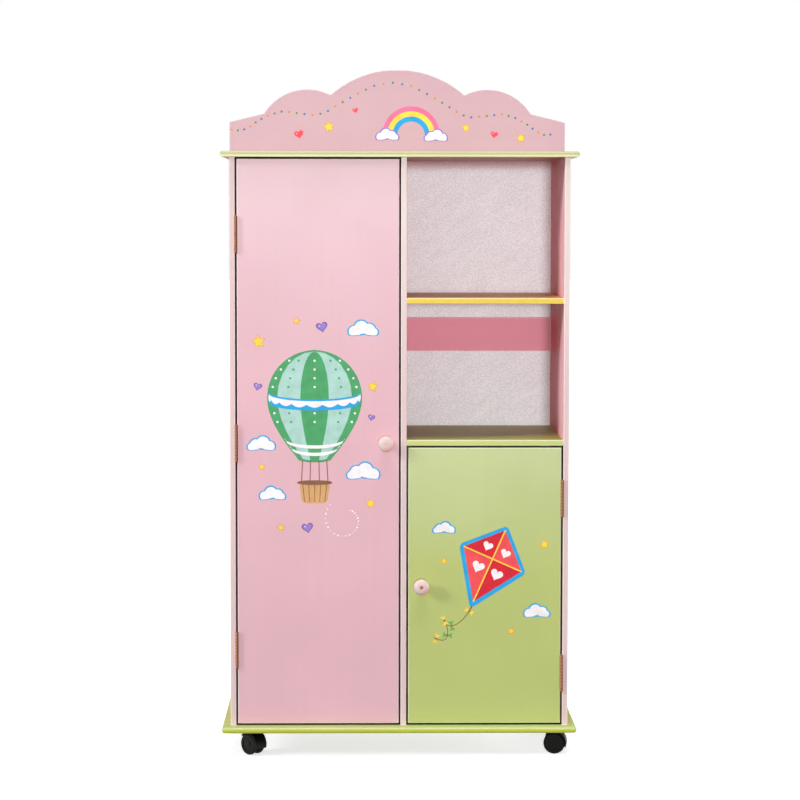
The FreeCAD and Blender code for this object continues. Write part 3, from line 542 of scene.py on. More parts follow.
def knob_paint(node, bare):
    """Painted turned knob: faint rings, painted shade at its foot and lower right, a share of bare wood in
    the middle.
    """
    paints = bpy.context.scene.board_paints
    constants = {"Coat Weight": 0.15, "Coat Roughness": 0.3, "Specular IOR Level": 0.35}
    finish = Finish(node + "_paint", constants)
    low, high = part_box(node)
    centre = (low + high) / 2
    cloud = finish.noise(scale=60.0, detail=3.0)
    chips = finish.noise(scale=420.0, detail=3.0)
    rings = finish.grain((40.0, 900.0, 40.0))
    across = finish.x - centre.x
    along = finish.z - centre.z
    reach = (across * across + along * along).math("SQRT")
    # Painted shade: deeper pink at the foot of the knob and towards its lower right
    foot = (finish.y + cloud.swing(0.004)).ramp(low.y + FOOT_MARGIN, high.y - FOOT_MARGIN)
    lower_right_shade = (across - along + cloud.swing(0.006)).ramp(*LOWER_RIGHT_SHADE_FADE) * 0.5
    worn = (reach + chips.swing(0.003)).ramp(*BARE_FADE) * bare
    base = finish.mottled(cloud, paints.knob_pink, darkest=0.97, lightest=1.03)
    base = finish.blend((foot * 0.7).most(lower_right_shade), base, paints.knob_shade)
    base = finish.blend(worn, base, paints.bare_spot)
    roughness = 0.42 + cloud.swing(0.12) + foot * 0.15 + worn * 0.2
    return finish.coat(base, roughness, rings, distance=0.0001, strength=0.3)


# Knuckles of a hinge, and the distances from its pin over which painted shade darkens their right side
HINGE_KNUCKLES = 11
SHADED_SIDE = (-0.0008, 0.0018)


def brass_finish(name, hinge=None):
    """Brass-plated steel with stains and drawn lines.

    A hinge, given by its lower end, its length and the x of its pin, also has darker gaps between its
    knuckles and painted shade on their right side.
    """
    tones = bpy.context.scene.hardware_tones
    finish = Finish(name, {"Metallic": 0.75})
    stain = finish.noise(scale=95.0, detail=5.0, distortion=0.4).ramp(0.50, 0.74)
    lines = finish.grain((2600.0, 2600.0, 120.0))
    stain_and_shade = stain * 0.45
    if hinge:
        end, length, pin = hinge
        beat = ((finish.z - end) * (HINGE_KNUCKLES / length)).math("FRACT") - 0.5
        gap = beat.math("ABSOLUTE").ramp(0.26, 0.46) * 0.7
        # Painted shade on the right side of the knuckles
        beside = (finish.x - pin).ramp(*SHADED_SIDE) * 0.85
        stain_and_shade = stain_and_shade.most(gap).most(beside)
    base = finish.blend(stain_and_shade, tones.brass, tones.tarnish_and_shade)
    roughness = 0.30 + lines * 0.16 + stain_and_shade * 0.25
    return finish.coat(base, roughness, lines, distance=0.00006, strength=0.4)


def metal_finish(name, colour, rough, drawn):
    """Plain metal with fine drawn lines, whose scale on each axis is given."""
    finish = Finish(name, {"Metallic": 1.0})
    mottle = finish.noise(scale=240.0, detail=3.0)
    lines = finish.grain(drawn)
    base = finish.mottled(mottle, colour, darkest=0.86, lightest=1.0)
    roughness = rough + lines * 0.12 + mottle.swing(0.1)
    return finish.coat(base, roughness, lines, distance=0.00004, strength=0.4)


def plastic_finish(name, colour, grain_pitch, rough, wear=None):
    """Moulded plastic with a fine spark-eroded grain and a slight haze, and a mask of dusty wear if given."""
    tones = bpy.context.scene.hardware_tones
    finish = Finish(name, {"Specular IOR Level": 0.15})
    grain = finish.noise(scale=1 / grain_pitch)
    haze = finish.noise(scale=35.0, detail=3.0)
    base = finish.mottled(haze, colour, darkest=0.8, lightest=1.25)
    roughness = rough + haze.swing(0.18) + grain.swing(0.1)
    if wear:
        worn = wear(finish)
        base = finish.blend(worn, base, tones.dust)
        roughness = roughness + worn * 0.3
    return finish.coat(base, roughness, grain, distance=grain_pitch * 0.12, strength=0.5)


# Grain of moulded plastic, and the distances inside a wheel's tread over which dust grows, in metres
CASTER_GRAIN = 0.0006
FITTING_GRAIN = 0.0008
TREAD_FADE = (0.0022, 0.0004)


def wheel_finish(wheel, axle):
    """Moulded wheel whose tread, away from the axle's line, is scuffed and dusty."""
    low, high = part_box(wheel)
    line = axle_line(axle)
    radius = (high.z - low.z) / 2

    def tread(finish):
        arm = finish.vector("SUBTRACT", finish.place, (low + high) / 2)
        reach = finish.vector("LENGTH", finish.vector("CROSS_PRODUCT", arm, line), output="Value")
        scuff = finish.noise(scale=120.0, detail=5.0)
        return (reach + scuff.swing(0.003)).ramp(*(radius - depth for depth in TREAD_FADE)) * scuff

    black = bpy.context.scene.hardware_tones.black
    return plastic_finish(wheel + "_plastic", black, CASTER_GRAIN, rough=0.45, wear=tread)


def axle_line(axle):
    """Unit vector along a level axle, from the far vertex of its mesh."""
    low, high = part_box(axle)
    middle = (low + high) / 2
    arms = [vertex.co - middle for vertex in frame["nodes"][axle].data.vertices]
    line = max(arms, key=lambda arm: arm.length)
    line.z = 0.0
    return line.normalized()


def beech_finish():
    """Bare beech with fine flecks."""
    tones = bpy.context.scene.hardware_tones
    finish = Finish("bare_beech")
    fleck = finish.grain((400.0, 400.0, 90.0), detail=4.0)
    base = finish.mottled(fleck, tones.beech, darkest=0.75, lightest=1.1)
    return finish.coat(base, 0.6 + fleck.swing(0.2), fleck, distance=0.0001, strength=0.3)


def picture_paint(name, colour):
    """Brushed poster paint: uneven cover and fine bristle marks."""
    finish = Finish(name)
    cover = finish.noise(scale=45.0, detail=4.0)
    bristle = finish.grain((900.0, 900.0, 140.0), detail=3.0)
    uneven = (cover * 0.7 + bristle * 0.3).ramp(0.3, 0.7)
    base = finish.mottled(uneven, colour, darkest=0.86, lightest=1.06)
    return finish.coat(base, 0.48 + bristle.swing(0.2), bristle, distance=0.00008, strength=0.4)


# Outlines of the painted pictures, as lists of (x, z)

def in_metres(*lengths):
    """Lengths given in millimetres."""
    return tuple(length * MILLIMETRE for length in lengths)


def toward(start, end, part):
    """Point a part of the way from one to another."""
    return tuple(a + (b - a) * part for a, b in zip(start, end))


def polar(centre, radius, heading):
    """Point at a distance from a centre, in the direction of a heading."""
    return centre[0] + radius * math.cos(heading), centre[1] + radius * math.sin(heading)


def moved(points, centre, scale=1.0, angle=0.0):
    """Points scaled, turned and then moved to a centre."""
    cosine = math.cos(angle) * scale
    sine = math.sin(angle) * scale
    return [(centre[0] + x * cosine - z * sine, centre[1] + x * sine + z * cosine) for x, z in points]


def rounded(points, rounds=2, cut=0.25):
    """Closed outline with its corners cut again and again."""
    for _ in range(rounds):
        sides = zip(points, points[1:] + points[:1])
        points = [toward(start, end, part) for start, end in sides for part in (cut, 1 - cut)]
    return points


def disc(centre, radius, sides):
    """Round dot."""
    return [polar(centre, radius, FULL_TURN * step / sides) for step in range(sides)]


def star(centre, radius, angle, tips=5, waist=0.46, blunt=0.12):
    """Star with slightly blunt tips."""
    corners = []
    for step in range(2 * tips):
        reach = radius * waist if step % 2 else radius
        corners.append(polar((0.0, 0.0), reach, FULL_TURN * (step / (2 * tips) + 0.25)))
    return moved(rounded(corners, cut=blunt), centre, angle=angle)


# Width of a heart on the curve that draws it
HEART_WIDTH = 32


def heart(centre, width, angle, steps=32):
    """Heart on its usual curve."""
    points = []
    for step in range(steps):
        way = FULL_TURN * step / steps
        x = 16 * math.sin(way) ** 3
        z = 13 * math.cos(way) - 5 * math.cos(2 * way) - 2 * math.cos(3 * way) - math.cos(4 * way)
        points.append((x, z))
    return moved(points, centre, width / HEART_WIDTH, angle)


# Puffs of a cloud as x, z and radius, and its flat floor, for a width of 1
CLOUD_PUFFS = ((-0.30, -0.03, 0.20), (-0.06, 0.10, 0.25), (0.20, 0.04, 0.21), (0.36, -0.05, 0.14))
CLOUD_FLOOR = -0.17


def cloud(centre, width, rim, facing, steps=72):
    """Union of round puffs with a flat floor, drawn inwards by a rim and facing -1 or 1."""
    points = []
    for step in range(steps):
        heading = FULL_TURN * step / steps
        along = (math.cos(heading), math.sin(heading))
        reach = 0.0
        for x, z, radius in CLOUD_PUFFS:
            dot = x * along[0] + z * along[1]
            inside = dot * dot - (x * x + z * z - radius * radius)
            if inside >= 0:
                reach = max(reach, dot + math.sqrt(inside))
        if along[1] < 0:
            reach = min(reach, CLOUD_FLOOR / along[1])
        reach = reach * width - rim
        points.append((facing * reach * along[0], reach * along[1]))
    return moved(rounded(points, rounds=1), centre)


def ribbon(points, width):
    """Strip of even width along an open line of points."""
    left = []
    right = []
    for index, spot in enumerate(points):
        before = Vector(points[max(index - 1, 0)])
        after = Vector(points[min(index + 1, len(points) - 1)])
        along = (after - before).normalized()
        side = Vector((-along.y, along.x)) * width / 2
        left.append((spot[0] + side.x, spot[1] + side.y))
        right.append((spot[0] - side.x, spot[1] - side.y))
    return left, right


def arch(centre, inner, outer, steps=32):
    """Strip along the upper half of a ring."""
    headings = [math.pi * step / steps for step in range(steps + 1)]
    return tuple([polar(centre, radius, heading) for heading in headings] for radius in (outer, inner))


def deselect():
    """Leaves object mode with nothing selected."""
    if bpy.context.object and bpy.context.object.mode != "OBJECT":
        bpy.ops.object.mode_set(mode="OBJECT")
    bpy.ops.object.select_all(action="DESELECT")


def flat_shape(spots, front, strip):
    """Flat face with these corners, or a strip of faces between two lines of corners."""
    deselect()
    if strip:
        bpy.ops.mesh.primitive_grid_add(x_subdivisions=len(spots) // 2 - 1, y_subdivisions=1)
    else:
        bpy.ops.mesh.primitive_circle_add(vertices=len(spots), fill_type="NGON")
    shape = bpy.context.object
    for vertex, (x, z) in zip(shape.data.vertices, spots):
        vertex.co = (x, front, z)
    return shape


def film(name, panel, colour, layer, outlines=(), strips=()):
    """Closed thin film of a picture tone on the front of a panel, which rides with it."""
    tones = bpy.context.scene.picture_tones
    thickness = tones.film * layer
    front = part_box(panel)[0].y
    shapes = [flat_shape(outline, front, False) for outline in outlines]
    shapes += [flat_shape([*left, *right], front, True) for left, right in strips]
    deselect()
    for shape in shapes:
        shape.select_set(True)
    piece = shapes[0]
    piece.name = name
    bpy.context.view_layer.objects.active = piece
    if len(shapes) > 1:
        bpy.ops.object.join()
    bpy.ops.object.mode_set(mode="EDIT")
    bpy.ops.mesh.select_all(action="SELECT")
    bpy.ops.mesh.extrude_region_move(TRANSFORM_OT_translate={"value": (0.0, -thickness, 0.0)})
    bpy.ops.mesh.select_all(action="SELECT")
    bpy.ops.mesh.normals_make_consistent(inside=False)
    bpy.ops.object.mode_set(mode="OBJECT")
    piece.data.materials.append(picture_paint(name + "_colour", getattr(tones, colour)).material)
    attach(piece, frame["nodes"][panel]["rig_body"])


# Small motifs, each given by x, z and a size in millimetres, and a turn in degrees or a way to face

CLOUD_RIM = 3.2
STAR_RIM = 2.6
# For a heart of width 1: the width inside its rim, and where its gleam is and how large
HEART_FILL = 0.80
GLEAM_PLACE = (-0.19, 0.10)
GLEAM_RADIUS = 0.055


def paint_rimmed(name, kind, panel, colours, pairs, layer=1):
    """Film of the rims of like motifs and film of what lies inside, from pairs of those two outlines."""
    rims, fills = zip(*pairs)
    film("%s_%s_rims" % (name, kind), panel, colours[0], layer, rims)
    film("%s_%ss" % (name, kind), panel, colours[1], layer + 1, fills)


def paint_clouds(name, panel, rim_colour, clouds, layer=1):
    """White clouds with a coloured rim, given by their width."""
    pairs = []
    for x, z, width, facing in clouds:
        centre = in_metres(x, z)
        pairs.append([cloud(centre, *in_metres(width, rim), facing) for rim in (0.0, CLOUD_RIM)])
    paint_rimmed(name, "cloud", panel, (rim_colour, "white"), pairs, layer)


def paint_stars(name, panel, stars):
    """Yellow stars with a darker rim, given by their radius."""
    pairs = []
    for x, z, radius, degrees in stars:
        radii = in_metres(radius, radius - STAR_RIM)
        pairs.append([star(in_metres(x, z), reach, math.radians(degrees)) for reach in radii])
    paint_rimmed(name, "star", panel, ("amber", "sun"), pairs)


def paint_hearts(name, panel, colours, hearts):
    """Hearts with a rim and a white gleam, given by their width."""
    pairs = []
    gleams = []
    for x, z, size, degrees in hearts:
        centre = in_metres(x, z)
        width = size * MILLIMETRE
        angle = math.radians(degrees)
        pairs.append([heart(centre, width * part, angle) for part in (1.0, HEART_FILL)])
        gleam = moved([GLEAM_PLACE], centre, width, angle)[0]
        gleams.append(disc(gleam, width * GLEAM_RADIUS, sides=10))
    paint_rimmed(name, "heart", panel, colours, pairs)
    film(name + "_heart_gleams", panel, "white", 3, gleams)


# Operators

class WARDROBE_OT_paint_boards(bpy.types.Operator):
    """Paint the boards, doors, shelves and knobs"""
    bl_idname = "wardrobe.paint_boards"
    bl_label = "Paint the boards"

    def execute(self, context):
        paints = context.scene.board_paints
        self.uprights(paints)
        self.doors(paints)
        self.level_boards(paints)
        dress("back_rail", board_paint("back_rail", paints.rail_pink))
        dress("headboard", board_paint("headboard", paints.headboard_pink))
        dress("back_panel", back_panel_finish())
        for knob, bare in (("tall_door_knob", 0.12), ("small_door_knob", 0.95)):
            dress(knob, knob_paint(knob, bare))
        return {"FINISHED"}

    def uprights(self, paints):
        """Side panels and divider: painted light on the inner faces near the front and painted shade deeper
        back, painted shade in the gaps round the doors, pale front edges with painted light on their upper
        part.
        """
        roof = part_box("top_board")[0].z
        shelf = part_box("fixed_shelf")[0].z
        uprights = {
            "left_side_panel": (paints.pale_pink, {1: roof}),
            "right_side_panel": (paints.lit_top_edge, {-1: shelf}),
            "centre_divider": (paints.lit_top_edge, {-1: roof, 1: shelf}),
        }
        for node, (upper_edge, ceilings) in uprights.items():
            tints = []
            for side, ceiling in ceilings.items():
                tints += [
                    # Painted light near the front of the inner faces and painted shade towards the back
                    (paints.lit_inner_pink, Masks.inner_face, side),
                    (paints.shaded_inner_pink, Masks.deep_face, side),
                    # Painted shade in the gaps round the doors
                    (paints.gap_shade, Masks.gap_shade_face, side, ceiling, paints.gap_shade_depth)]
            # Painted light on the upper part of the front edges
            tints += [(paints.pale_pink, Masks.front_edge), (upper_edge, Masks.lit_top_edge, 0.5, 1.0)]
            dress(node, board_paint(node, paints.pink, *tints))

    def doors(self, paints):
        """Doors: painted light that makes them lighter towards the top, and painted shade on their narrow
        faces.
        """
        for door, colour, lit_top, heights in (
                ("tall_door", paints.pink, paints.lit_top_pink, (0.5, 1.25)),
                ("small_door", paints.green, paints.lit_top_green, (0.5, 1.0))):
            # Painted light on the upper part, painted shade on the narrow faces
            tints = ((lit_top, Masks.upper_part, *heights), (paints.gap_shade, Masks.narrow_faces))
            dress(door, board_paint(door, colour, *tints))

    def level_boards(self, paints):
        """Top board, shelves and base board, with depths in metres for their tints. Except the end green on
        the base board's upper face, the tints are painted highlight and shade.
        """
        boards = {
            "top_board": (
                # Painted highlight on the lower nosing
                paints.pale_green, (paints.lit_nosing_green, Masks.lower_nosing, 0.0055, 0.0105),
                # Painted shade on the underside
                (paints.soffit_shade, Masks.soffit_shade)),
            # Painted shade on the tops of the shelves
            "fixed_shelf": (paints.shelf_green, (paints.shaded_olive, Masks.upper_face, 0.012)),
            "display_shelf": (paints.yellow, (paints.shaded_orange, Masks.upper_face, 0.006)),
            "base_board": (
                # Painted shade on the lower nosing
                paints.base_green, (paints.shaded_nosing_green, Masks.lower_nosing, 0.001, 0.007),
                (paints.end_green, Masks.upper_face, 0.03),
                # Painted shade in the gap under the doors
                (paints.gap_shade, Masks.gap_shade_floor, paints.gap_shade_depth)),
        }
        for node, (colour, *tints) in boards.items():
            dress(node, board_paint(node, colour, *tints))


class WARDROBE_OT_finish_hardware(bpy.types.Operator):
    """Finish the hinges, screws, rail, catches, dowels and casters"""
    bl_idname = "wardrobe.finish_hardware"
    bl_label = "Finish the hardware"

    def execute(self, context):
        tones = context.scene.hardware_tones
        self.fittings(tones)
        self.hinges()
        for corner in CORNERS:
            for side in "ab":
                wheel = "%s_caster_wheel_%s" % (corner, side)
                dress(wheel, wheel_finish(wheel, corner + "_caster_axle"))
        return {"FINISHED"}

    def fittings(self, tones):
        """One finish for all the nodes whose name holds one of its words."""
        finishes = (
            (("hinge_pins",), brass_finish("brass_pins")),
            (("screw", "strike", "magnets", "plates", "axle", "kingpins", "panel_pins"),
             metal_finish("zinc_plating", tones.steel, rough=0.30, drawn=(900.0, 900.0, 900.0))),
            (("hanging_rail",),
             metal_finish("chromed_steel", tones.chrome, rough=0.10, drawn=(60.0, 1800.0, 1800.0))),
            (("socket",), plastic_finish("white_plastic", tones.white, FITTING_GRAIN, rough=0.40)),
            (("_catch",), plastic_finish("brown_plastic", tones.brown, FITTING_GRAIN, rough=0.45)),
            (("hood",), plastic_finish("black_plastic", tones.black, CASTER_GRAIN, rough=0.42)),
            (("dowels",), beech_finish()),
        )
        for node in frame["nodes"]:
            for words, finish in finishes:
                if any(word in node for word in words):
                    dress(node, finish)

    def hinges(self):
        """Leaves of the hinges, each with darker knuckle gaps and painted shade on their right side, set by
        its own length and pin.
        """
        left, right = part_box("hinge_pins")
        pin_radius = (right.y - left.y) / 2
        for node in frame["nodes"]:
            if "leaf" in node:
                low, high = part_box(node)
                pin = left.x + pin_radius if node.startswith("tall") else right.x - pin_radius
                dress(node, brass_finish(node + "_brass", (low.z, high.z - low.z, pin)))


# Balloon: its middle and radius in metres, and the rest of it for a radius of 1
BALLOON_CENTRE = (-0.175, 0.747)
BALLOON_RADIUS = 0.095
BALLOON_RIM = 1.035
BALLOON_PROFILE = (
    (0.02, 1.0), (0.26, 0.966), (0.50, 0.866), (0.707, 0.707), (0.866, 0.50), (0.966, 0.259), (1.0, 0.0),
    (0.97, -0.24), (0.88, -0.50), (0.74, -0.76), (0.58, -1.0), (0.42, -1.2), (0.30, -1.36))
GORES = ((-88, -54), (-18, 18), (54, 88))
SPOT_ROWS = 8
TOP_SPOT = 0.80
SPOT_PITCH = 0.19
SPOTLESS = (-0.30, 0.16)
BAND_SAG = 0.16
SCALLOP_DEPTH = 0.06
BASKET_SIDES = ((-0.34, -1.84), (0.34, -1.84), (0.27, -2.30), (-0.27, -2.30))
BASKET_RIM = ((-0.38, -1.80), (0.38, -1.80), (0.38, -1.90), (-0.38, -1.90))
# Radius of a spot and widths of the lines, in metres
SPOT_RADIUS = 0.0024
ROPE_WIDTH = 0.0018
STAVE_WIDTH = 0.0015


def on_balloon(points, scale=1.0):
    """Points given for a balloon of radius 1, moved to the painted one."""
    return moved(points, BALLOON_CENTRE, BALLOON_RADIUS * scale)


class WARDROBE_OT_paint_balloon(bpy.types.Operator):
    """Paint a hot-air balloon on the tall door"""
    bl_idname = "wardrobe.paint_balloon"
    bl_label = "Paint the balloon"

    def execute(self, context):
        panel = "tall_door"
        outline = rounded([*BALLOON_PROFILE, *((-x, z) for x, z in reversed(BALLOON_PROFILE))], rounds=1)
        film("balloon_rim", panel, "leaf", 1, [on_balloon(outline, BALLOON_RIM)])
        film("balloon_cloth", panel, "mint", 2, [on_balloon(outline)])
        film("balloon_gores", panel, "leaf", 3, strips=[self.gore(first, last) for first, last in GORES])
        film("balloon_spots", panel, "leaf", 4, self.spots((-36, 36)))
        film("balloon_pale_spots", panel, "white", 4, self.spots((-69, 0, 69)))
        film("balloon_band", panel, "sky", 5, strips=[self.band(0.12, -0.12)])
        hems = [self.band(-0.88, -0.95), self.band(-1.04, -1.11)]
        film("balloon_hems", panel, "white", 5, strips=hems)
        film("balloon_scallops", panel, "white", 6, strips=[self.band(0.08, 0.0, scallops=9)])
        self.basket(panel)
        return {"FINISHED"}

    def width_at(self, height):
        """Half width of a balloon of radius 1 at a height."""
        for (near, top), (far, bottom) in zip(BALLOON_PROFILE, BALLOON_PROFILE[1:]):
            if top >= height >= bottom:
                return near + (far - near) * (top - height) / (top - bottom)
        raise ValueError("No balloon at height %s" % height)

    def gore(self, first, last):
        """Strip of cloth from crown to mouth between two angles round the balloon, in degrees."""
        sides = (math.sin(math.radians(angle)) for angle in (first, last))
        return tuple(on_balloon([(x * side, z) for x, z in BALLOON_PROFILE]) for side in sides)

    def spots(self, angles):
        """Rows of dots down the gores at these angles, in degrees, clear of the band."""
        dots = []
        for angle in angles:
            for row in range(SPOT_ROWS):
                height = TOP_SPOT - SPOT_PITCH * row
                if SPOTLESS[0] < height < SPOTLESS[1]:
                    continue
                spot = (self.width_at(height) * math.sin(math.radians(angle)), height)
                dots.append(disc(on_balloon([spot])[0], SPOT_RADIUS, sides=12))
        return dots

    def band(self, top, bottom, scallops=0, steps=72):
        """Strip round the balloon that hangs lower in the middle, with a scalloped lower edge if asked."""
        upper = []
        lower = []
        for step in range(steps + 1):
            angle = math.pi * (step / steps - 0.5)
            sag = BAND_SAG * math.cos(angle)
            wave = abs(math.sin(scallops * math.pi * step / steps)) * SCALLOP_DEPTH
            for line, height in ((upper, top), (lower, bottom - wave)):
                line.append((self.width_at(height) * math.sin(angle), height - sag))
        return on_balloon(upper), on_balloon(lower)

    def basket(self, panel):
        """Ropes, basket, weave and rim under the balloon."""
        ropes = [[(side * 0.26, -1.36), (side * 0.29, -1.86)] for side in (-1, -0.35, 0.35, 1)]
        strips = [ribbon(on_balloon(rope), ROPE_WIDTH) for rope in ropes]
        film("balloon_ropes", panel, "bark", 4, strips=strips)
        film("basket", panel, "straw", 2, [on_balloon(rounded(BASKET_SIDES, cut=0.12))])
        staves = [[(side * 0.33, -1.88), (side * 0.27, -2.27)] for side in (-0.8, -0.4, 0.0, 0.4, 0.8)]
        strips = [ribbon(on_balloon(stave), STAVE_WIDTH) for stave in staves]
        film("basket_staves", panel, "bark", 3, strips=strips)
        film("basket_rim", panel, "bark", 5, [on_balloon(rounded(BASKET_RIM))])


# Motifs round the balloon, and the trail of dots: its middle, its reach at both ends and its start and turn
DOOR_CLOUDS = ((-75, 885, 66, 1), (-285, 648, 62, -1), (-75, 590, 72, -1), (-262, 545, 58, 1))
DOOR_STARS = (
    (-290, 862, 16, 8), (-55, 770, 13, -12), (-60, 528, 12, 14), (-284, 604, 9, 0), (-245, 478, 10, 20),
    (-212, 905, 9, -10))
DOOR_HEARTS = ((-160, 893, 24, 12), (-292, 770, 18, -14), (-190, 478, 24, 10), (-58, 706, 15, -12))
TRAIL_CENTRE = (-0.112, 0.494)
TRAIL_REACH = (0.044, 0.022)
TRAIL_START = math.radians(135)
TRAIL_TURN = math.radians(288)
TRAIL_DOTS = 22
TRAIL_DOT_RADII = (0.0012, 0.0016, 0.0020)


class WARDROBE_OT_paint_tall_door_sky(bpy.types.Operator):
    """Paint clouds, stars, hearts and a trail of dots on the tall door"""
    bl_idname = "wardrobe.paint_tall_door_sky"
    bl_label = "Paint the tall door's sky"

    def execute(self, context):
        panel = "tall_door"
        paint_clouds(panel, panel, "sky", DOOR_CLOUDS)
        paint_stars(panel, panel, DOOR_STARS)
        paint_hearts(panel, panel, ("plum", "violet"), DOOR_HEARTS)
        trail = []
        for count in range(TRAIL_DOTS):
            part = count / (TRAIL_DOTS - 1)
            reach = TRAIL_REACH[0] + (TRAIL_REACH[1] - TRAIL_REACH[0]) * part
            spot = polar(TRAIL_CENTRE, reach, TRAIL_START + TRAIL_TURN * part)
            trail.append(disc(spot, TRAIL_DOT_RADII[count % len(TRAIL_DOT_RADII)], sides=8))
        film("tall_door_trail", panel, "white", 1, trail)
        return {"FINISHED"}


# Kite: its middle, height and lean, and for a height of 1 its corners, the cross of its bars and its hearts
KITE_CENTRE = (0.185, 0.395)
KITE_HEIGHT = 0.19
KITE_LEAN = math.radians(-24)
KITE_CORNERS = ((0.0, 0.5), (0.40, 0.10), (0.0, -0.5), (-0.40, 0.10))
KITE_CROSS = (0.0, 0.10)
KITE_CLOTH = 0.86
KITE_HEARTS = ((-0.105, 0.21, 0.021), (0.105, 0.21, 0.021), (-0.11, -0.04, 0.026), (0.11, -0.04, 0.026))
# Bars and string in metres: widths, how far the tail falls, how far it waves and in how many half waves
BAR_WIDTH = 0.0028
STRING_WIDTH = 0.0016
TAIL_FALL = (-0.075, -0.060)
TAIL_WAVE = ((0.014, 3), (0.012, 4))
TAIL_STEPS = 40
BOW_STEPS = (8, 16, 24, 32, 39)
BOW_WING = ((0.0, 0.0), (0.010, 0.0062), (0.0085, 0.0), (0.010, -0.0062))
KNOT_RADIUS = 0.0022
KITE_CLOUDS = ((285, 300, 58, 1), (92, 474, 50, -1))
KITE_STARS = ((300, 442, 12, 10), (232, 262, 10, -14), (92, 408, 9, 6))


def on_kite(points):
    """Points given for an upright kite of height 1, moved to the painted one."""
    return moved(points, KITE_CENTRE, KITE_HEIGHT, KITE_LEAN)


class WARDROBE_OT_paint_kite(bpy.types.Operator):
    """Paint a kite with a tail of bows, clouds and stars on the small door"""
    bl_idname = "wardrobe.paint_kite"
    bl_label = "Paint the kite"

    def execute(self, context):
        panel = "small_door"
        top, right, bottom, left = [toward(KITE_CROSS, corner, KITE_CLOTH) for corner in KITE_CORNERS]
        film("kite_border", panel, "sky", 1, [on_kite(rounded(KITE_CORNERS, cut=0.05))])
        film("kite_cloth", panel, "red", 2, [on_kite([top, right, bottom, left])])
        quarters = [[KITE_CROSS, top, right], [KITE_CROSS, bottom, left]]
        film("kite_quarters", panel, "coral", 3, [on_kite(quarter) for quarter in quarters])
        film("kite_upright", panel, "sun", 4, strips=[ribbon(on_kite([top, bottom]), BAR_WIDTH)])
        film("kite_crossbar", panel, "sun", 5, strips=[ribbon(on_kite([left, right]), BAR_WIDTH)])
        hearts = [heart(on_kite([(x, z)])[0], width, KITE_LEAN) for x, z, width in KITE_HEARTS]
        film("kite_hearts", panel, "white", 4, hearts)
        self.tail(panel, on_kite([KITE_CORNERS[2]])[0])
        paint_clouds(panel, panel, "sky", KITE_CLOUDS)
        paint_stars(panel, panel, KITE_STARS)
        return {"FINISHED"}

    def tail(self, panel, start):
        """Waving string below the kite with bows of two colours."""
        line = []
        for step in range(TAIL_STEPS + 1):
            part = step / TAIL_STEPS
            spot = [
                begin + fall * part + wave * math.sin(math.pi * count * part)
                for begin, fall, (wave, count) in zip(start, TAIL_FALL, TAIL_WAVE)]
            line.append(spot)
        film("kite_string", panel, "bark", 2, strips=[ribbon(line, STRING_WIDTH)])
        bows = ([], [])
        knots = []
        for count, step in enumerate(BOW_STEPS):
            spot = line[step]
            before = line[step - 1]
            heading = math.atan2(spot[1] - before[1], spot[0] - before[0]) + math.pi / 2
            for side in (1, -1):
                wing = [(side * x, z) for x, z in BOW_WING]
                bows[count % 2].append(moved(wing, spot, angle=heading))
            knots.append(disc(spot, KNOT_RADIUS, sides=10))
        film("kite_bows", panel, "sun", 3, bows[0])
        film("kite_green_bows", panel, "grass", 3, bows[1])
        film("kite_knots", panel, "bark", 4, knots)


# Right half of the line of dots in millimetres from its middle, where that is in metres, and its lean
DOT_LINE = (
    (0, 70), (39, 64), (76, 46), (128, 16), (147, 3), (172, -3), (208, 1), (239, 5), (268, -3), (292, -15),
    (311, -29), (330, -39), (352, -37))
DOT_CENTRE = (-0.010, 1.340)
DOT_LEAN = math.radians(-0.7)
# Rainbow: the middle of its foot in metres, and the inner radius and width of its bands in millimetres
RAINBOW_FOOT = (0.030, 1.296)
RAINBOW_BANDS = (("rose", "rose", 52), ("yellow", "sun", 41), ("blue", "sky", 30))
RAINBOW_BAND = 11
RAINBOW_CLOUDS = ((-22, 1294, 54, 1), (84, 1292, 54, -1))
HEADBOARD_STARS = ((-150, 1314, 14, 10), (150, 1312, 11, -8), (270, 1290, 12, 12))
HEADBOARD_HEARTS = ((-215, 1298, 22, 14), (212, 1298, 18, -12), (-92, 1350, 14, 10))


class WARDROBE_OT_paint_headboard(bpy.types.Operator):
    """Paint a row of dots along the headboard, and a rainbow with clouds, stars and hearts"""
    bl_idname = "wardrobe.paint_headboard"
    bl_label = "Paint the headboard"

    def execute(self, context):
        tones = context.scene.picture_tones
        panel = "headboard"
        spots = self.dotted_line(tones)
        for first, name in enumerate(("dot_yellow", "dot_green", "dot_blue")):
            dots = [disc(spot, tones.dot_radius, sides=12) for spot in spots[first::3]]
            film("headboard_" + name, panel, name, 1, dots)
        for name, colour, inner in RAINBOW_BANDS:
            band = arch(RAINBOW_FOOT, *in_metres(inner, inner + RAINBOW_BAND))
            film("rainbow_" + name, panel, colour, 1, strips=[band])
        paint_clouds("rainbow", panel, "violet", RAINBOW_CLOUDS, layer=2)
        paint_stars(panel, panel, HEADBOARD_STARS)
        paint_hearts(panel, panel, ("rose", "coral"), HEADBOARD_HEARTS)
        return {"FINISHED"}

    def dotted_line(self, tones, steps=60):
        """Points on the line of dots, from its left end to its right end, closer together near its ends."""
        left = [(-x, z) for x, z in reversed(DOT_LINE)]
        line = [Vector(spot) for spot in moved([*left, *DOT_LINE[1:]], DOT_CENTRE, MILLIMETRE, DOT_LEAN)]
        half = DOT_LINE[-1][0] * MILLIMETRE
        spots = [line[0]]
        for start, end in zip(line, line[1:]):
            for step in range(steps):
                spot = start.lerp(end, step / steps)
                outward = abs(spot.x - DOT_CENTRE[0]) / half
                pitch = tones.middle_pitch + (tones.end_pitch - tones.middle_pitch) * outward
                if (spot - spots[-1]).length >= pitch:
                    spots.append(spot)
        return spots


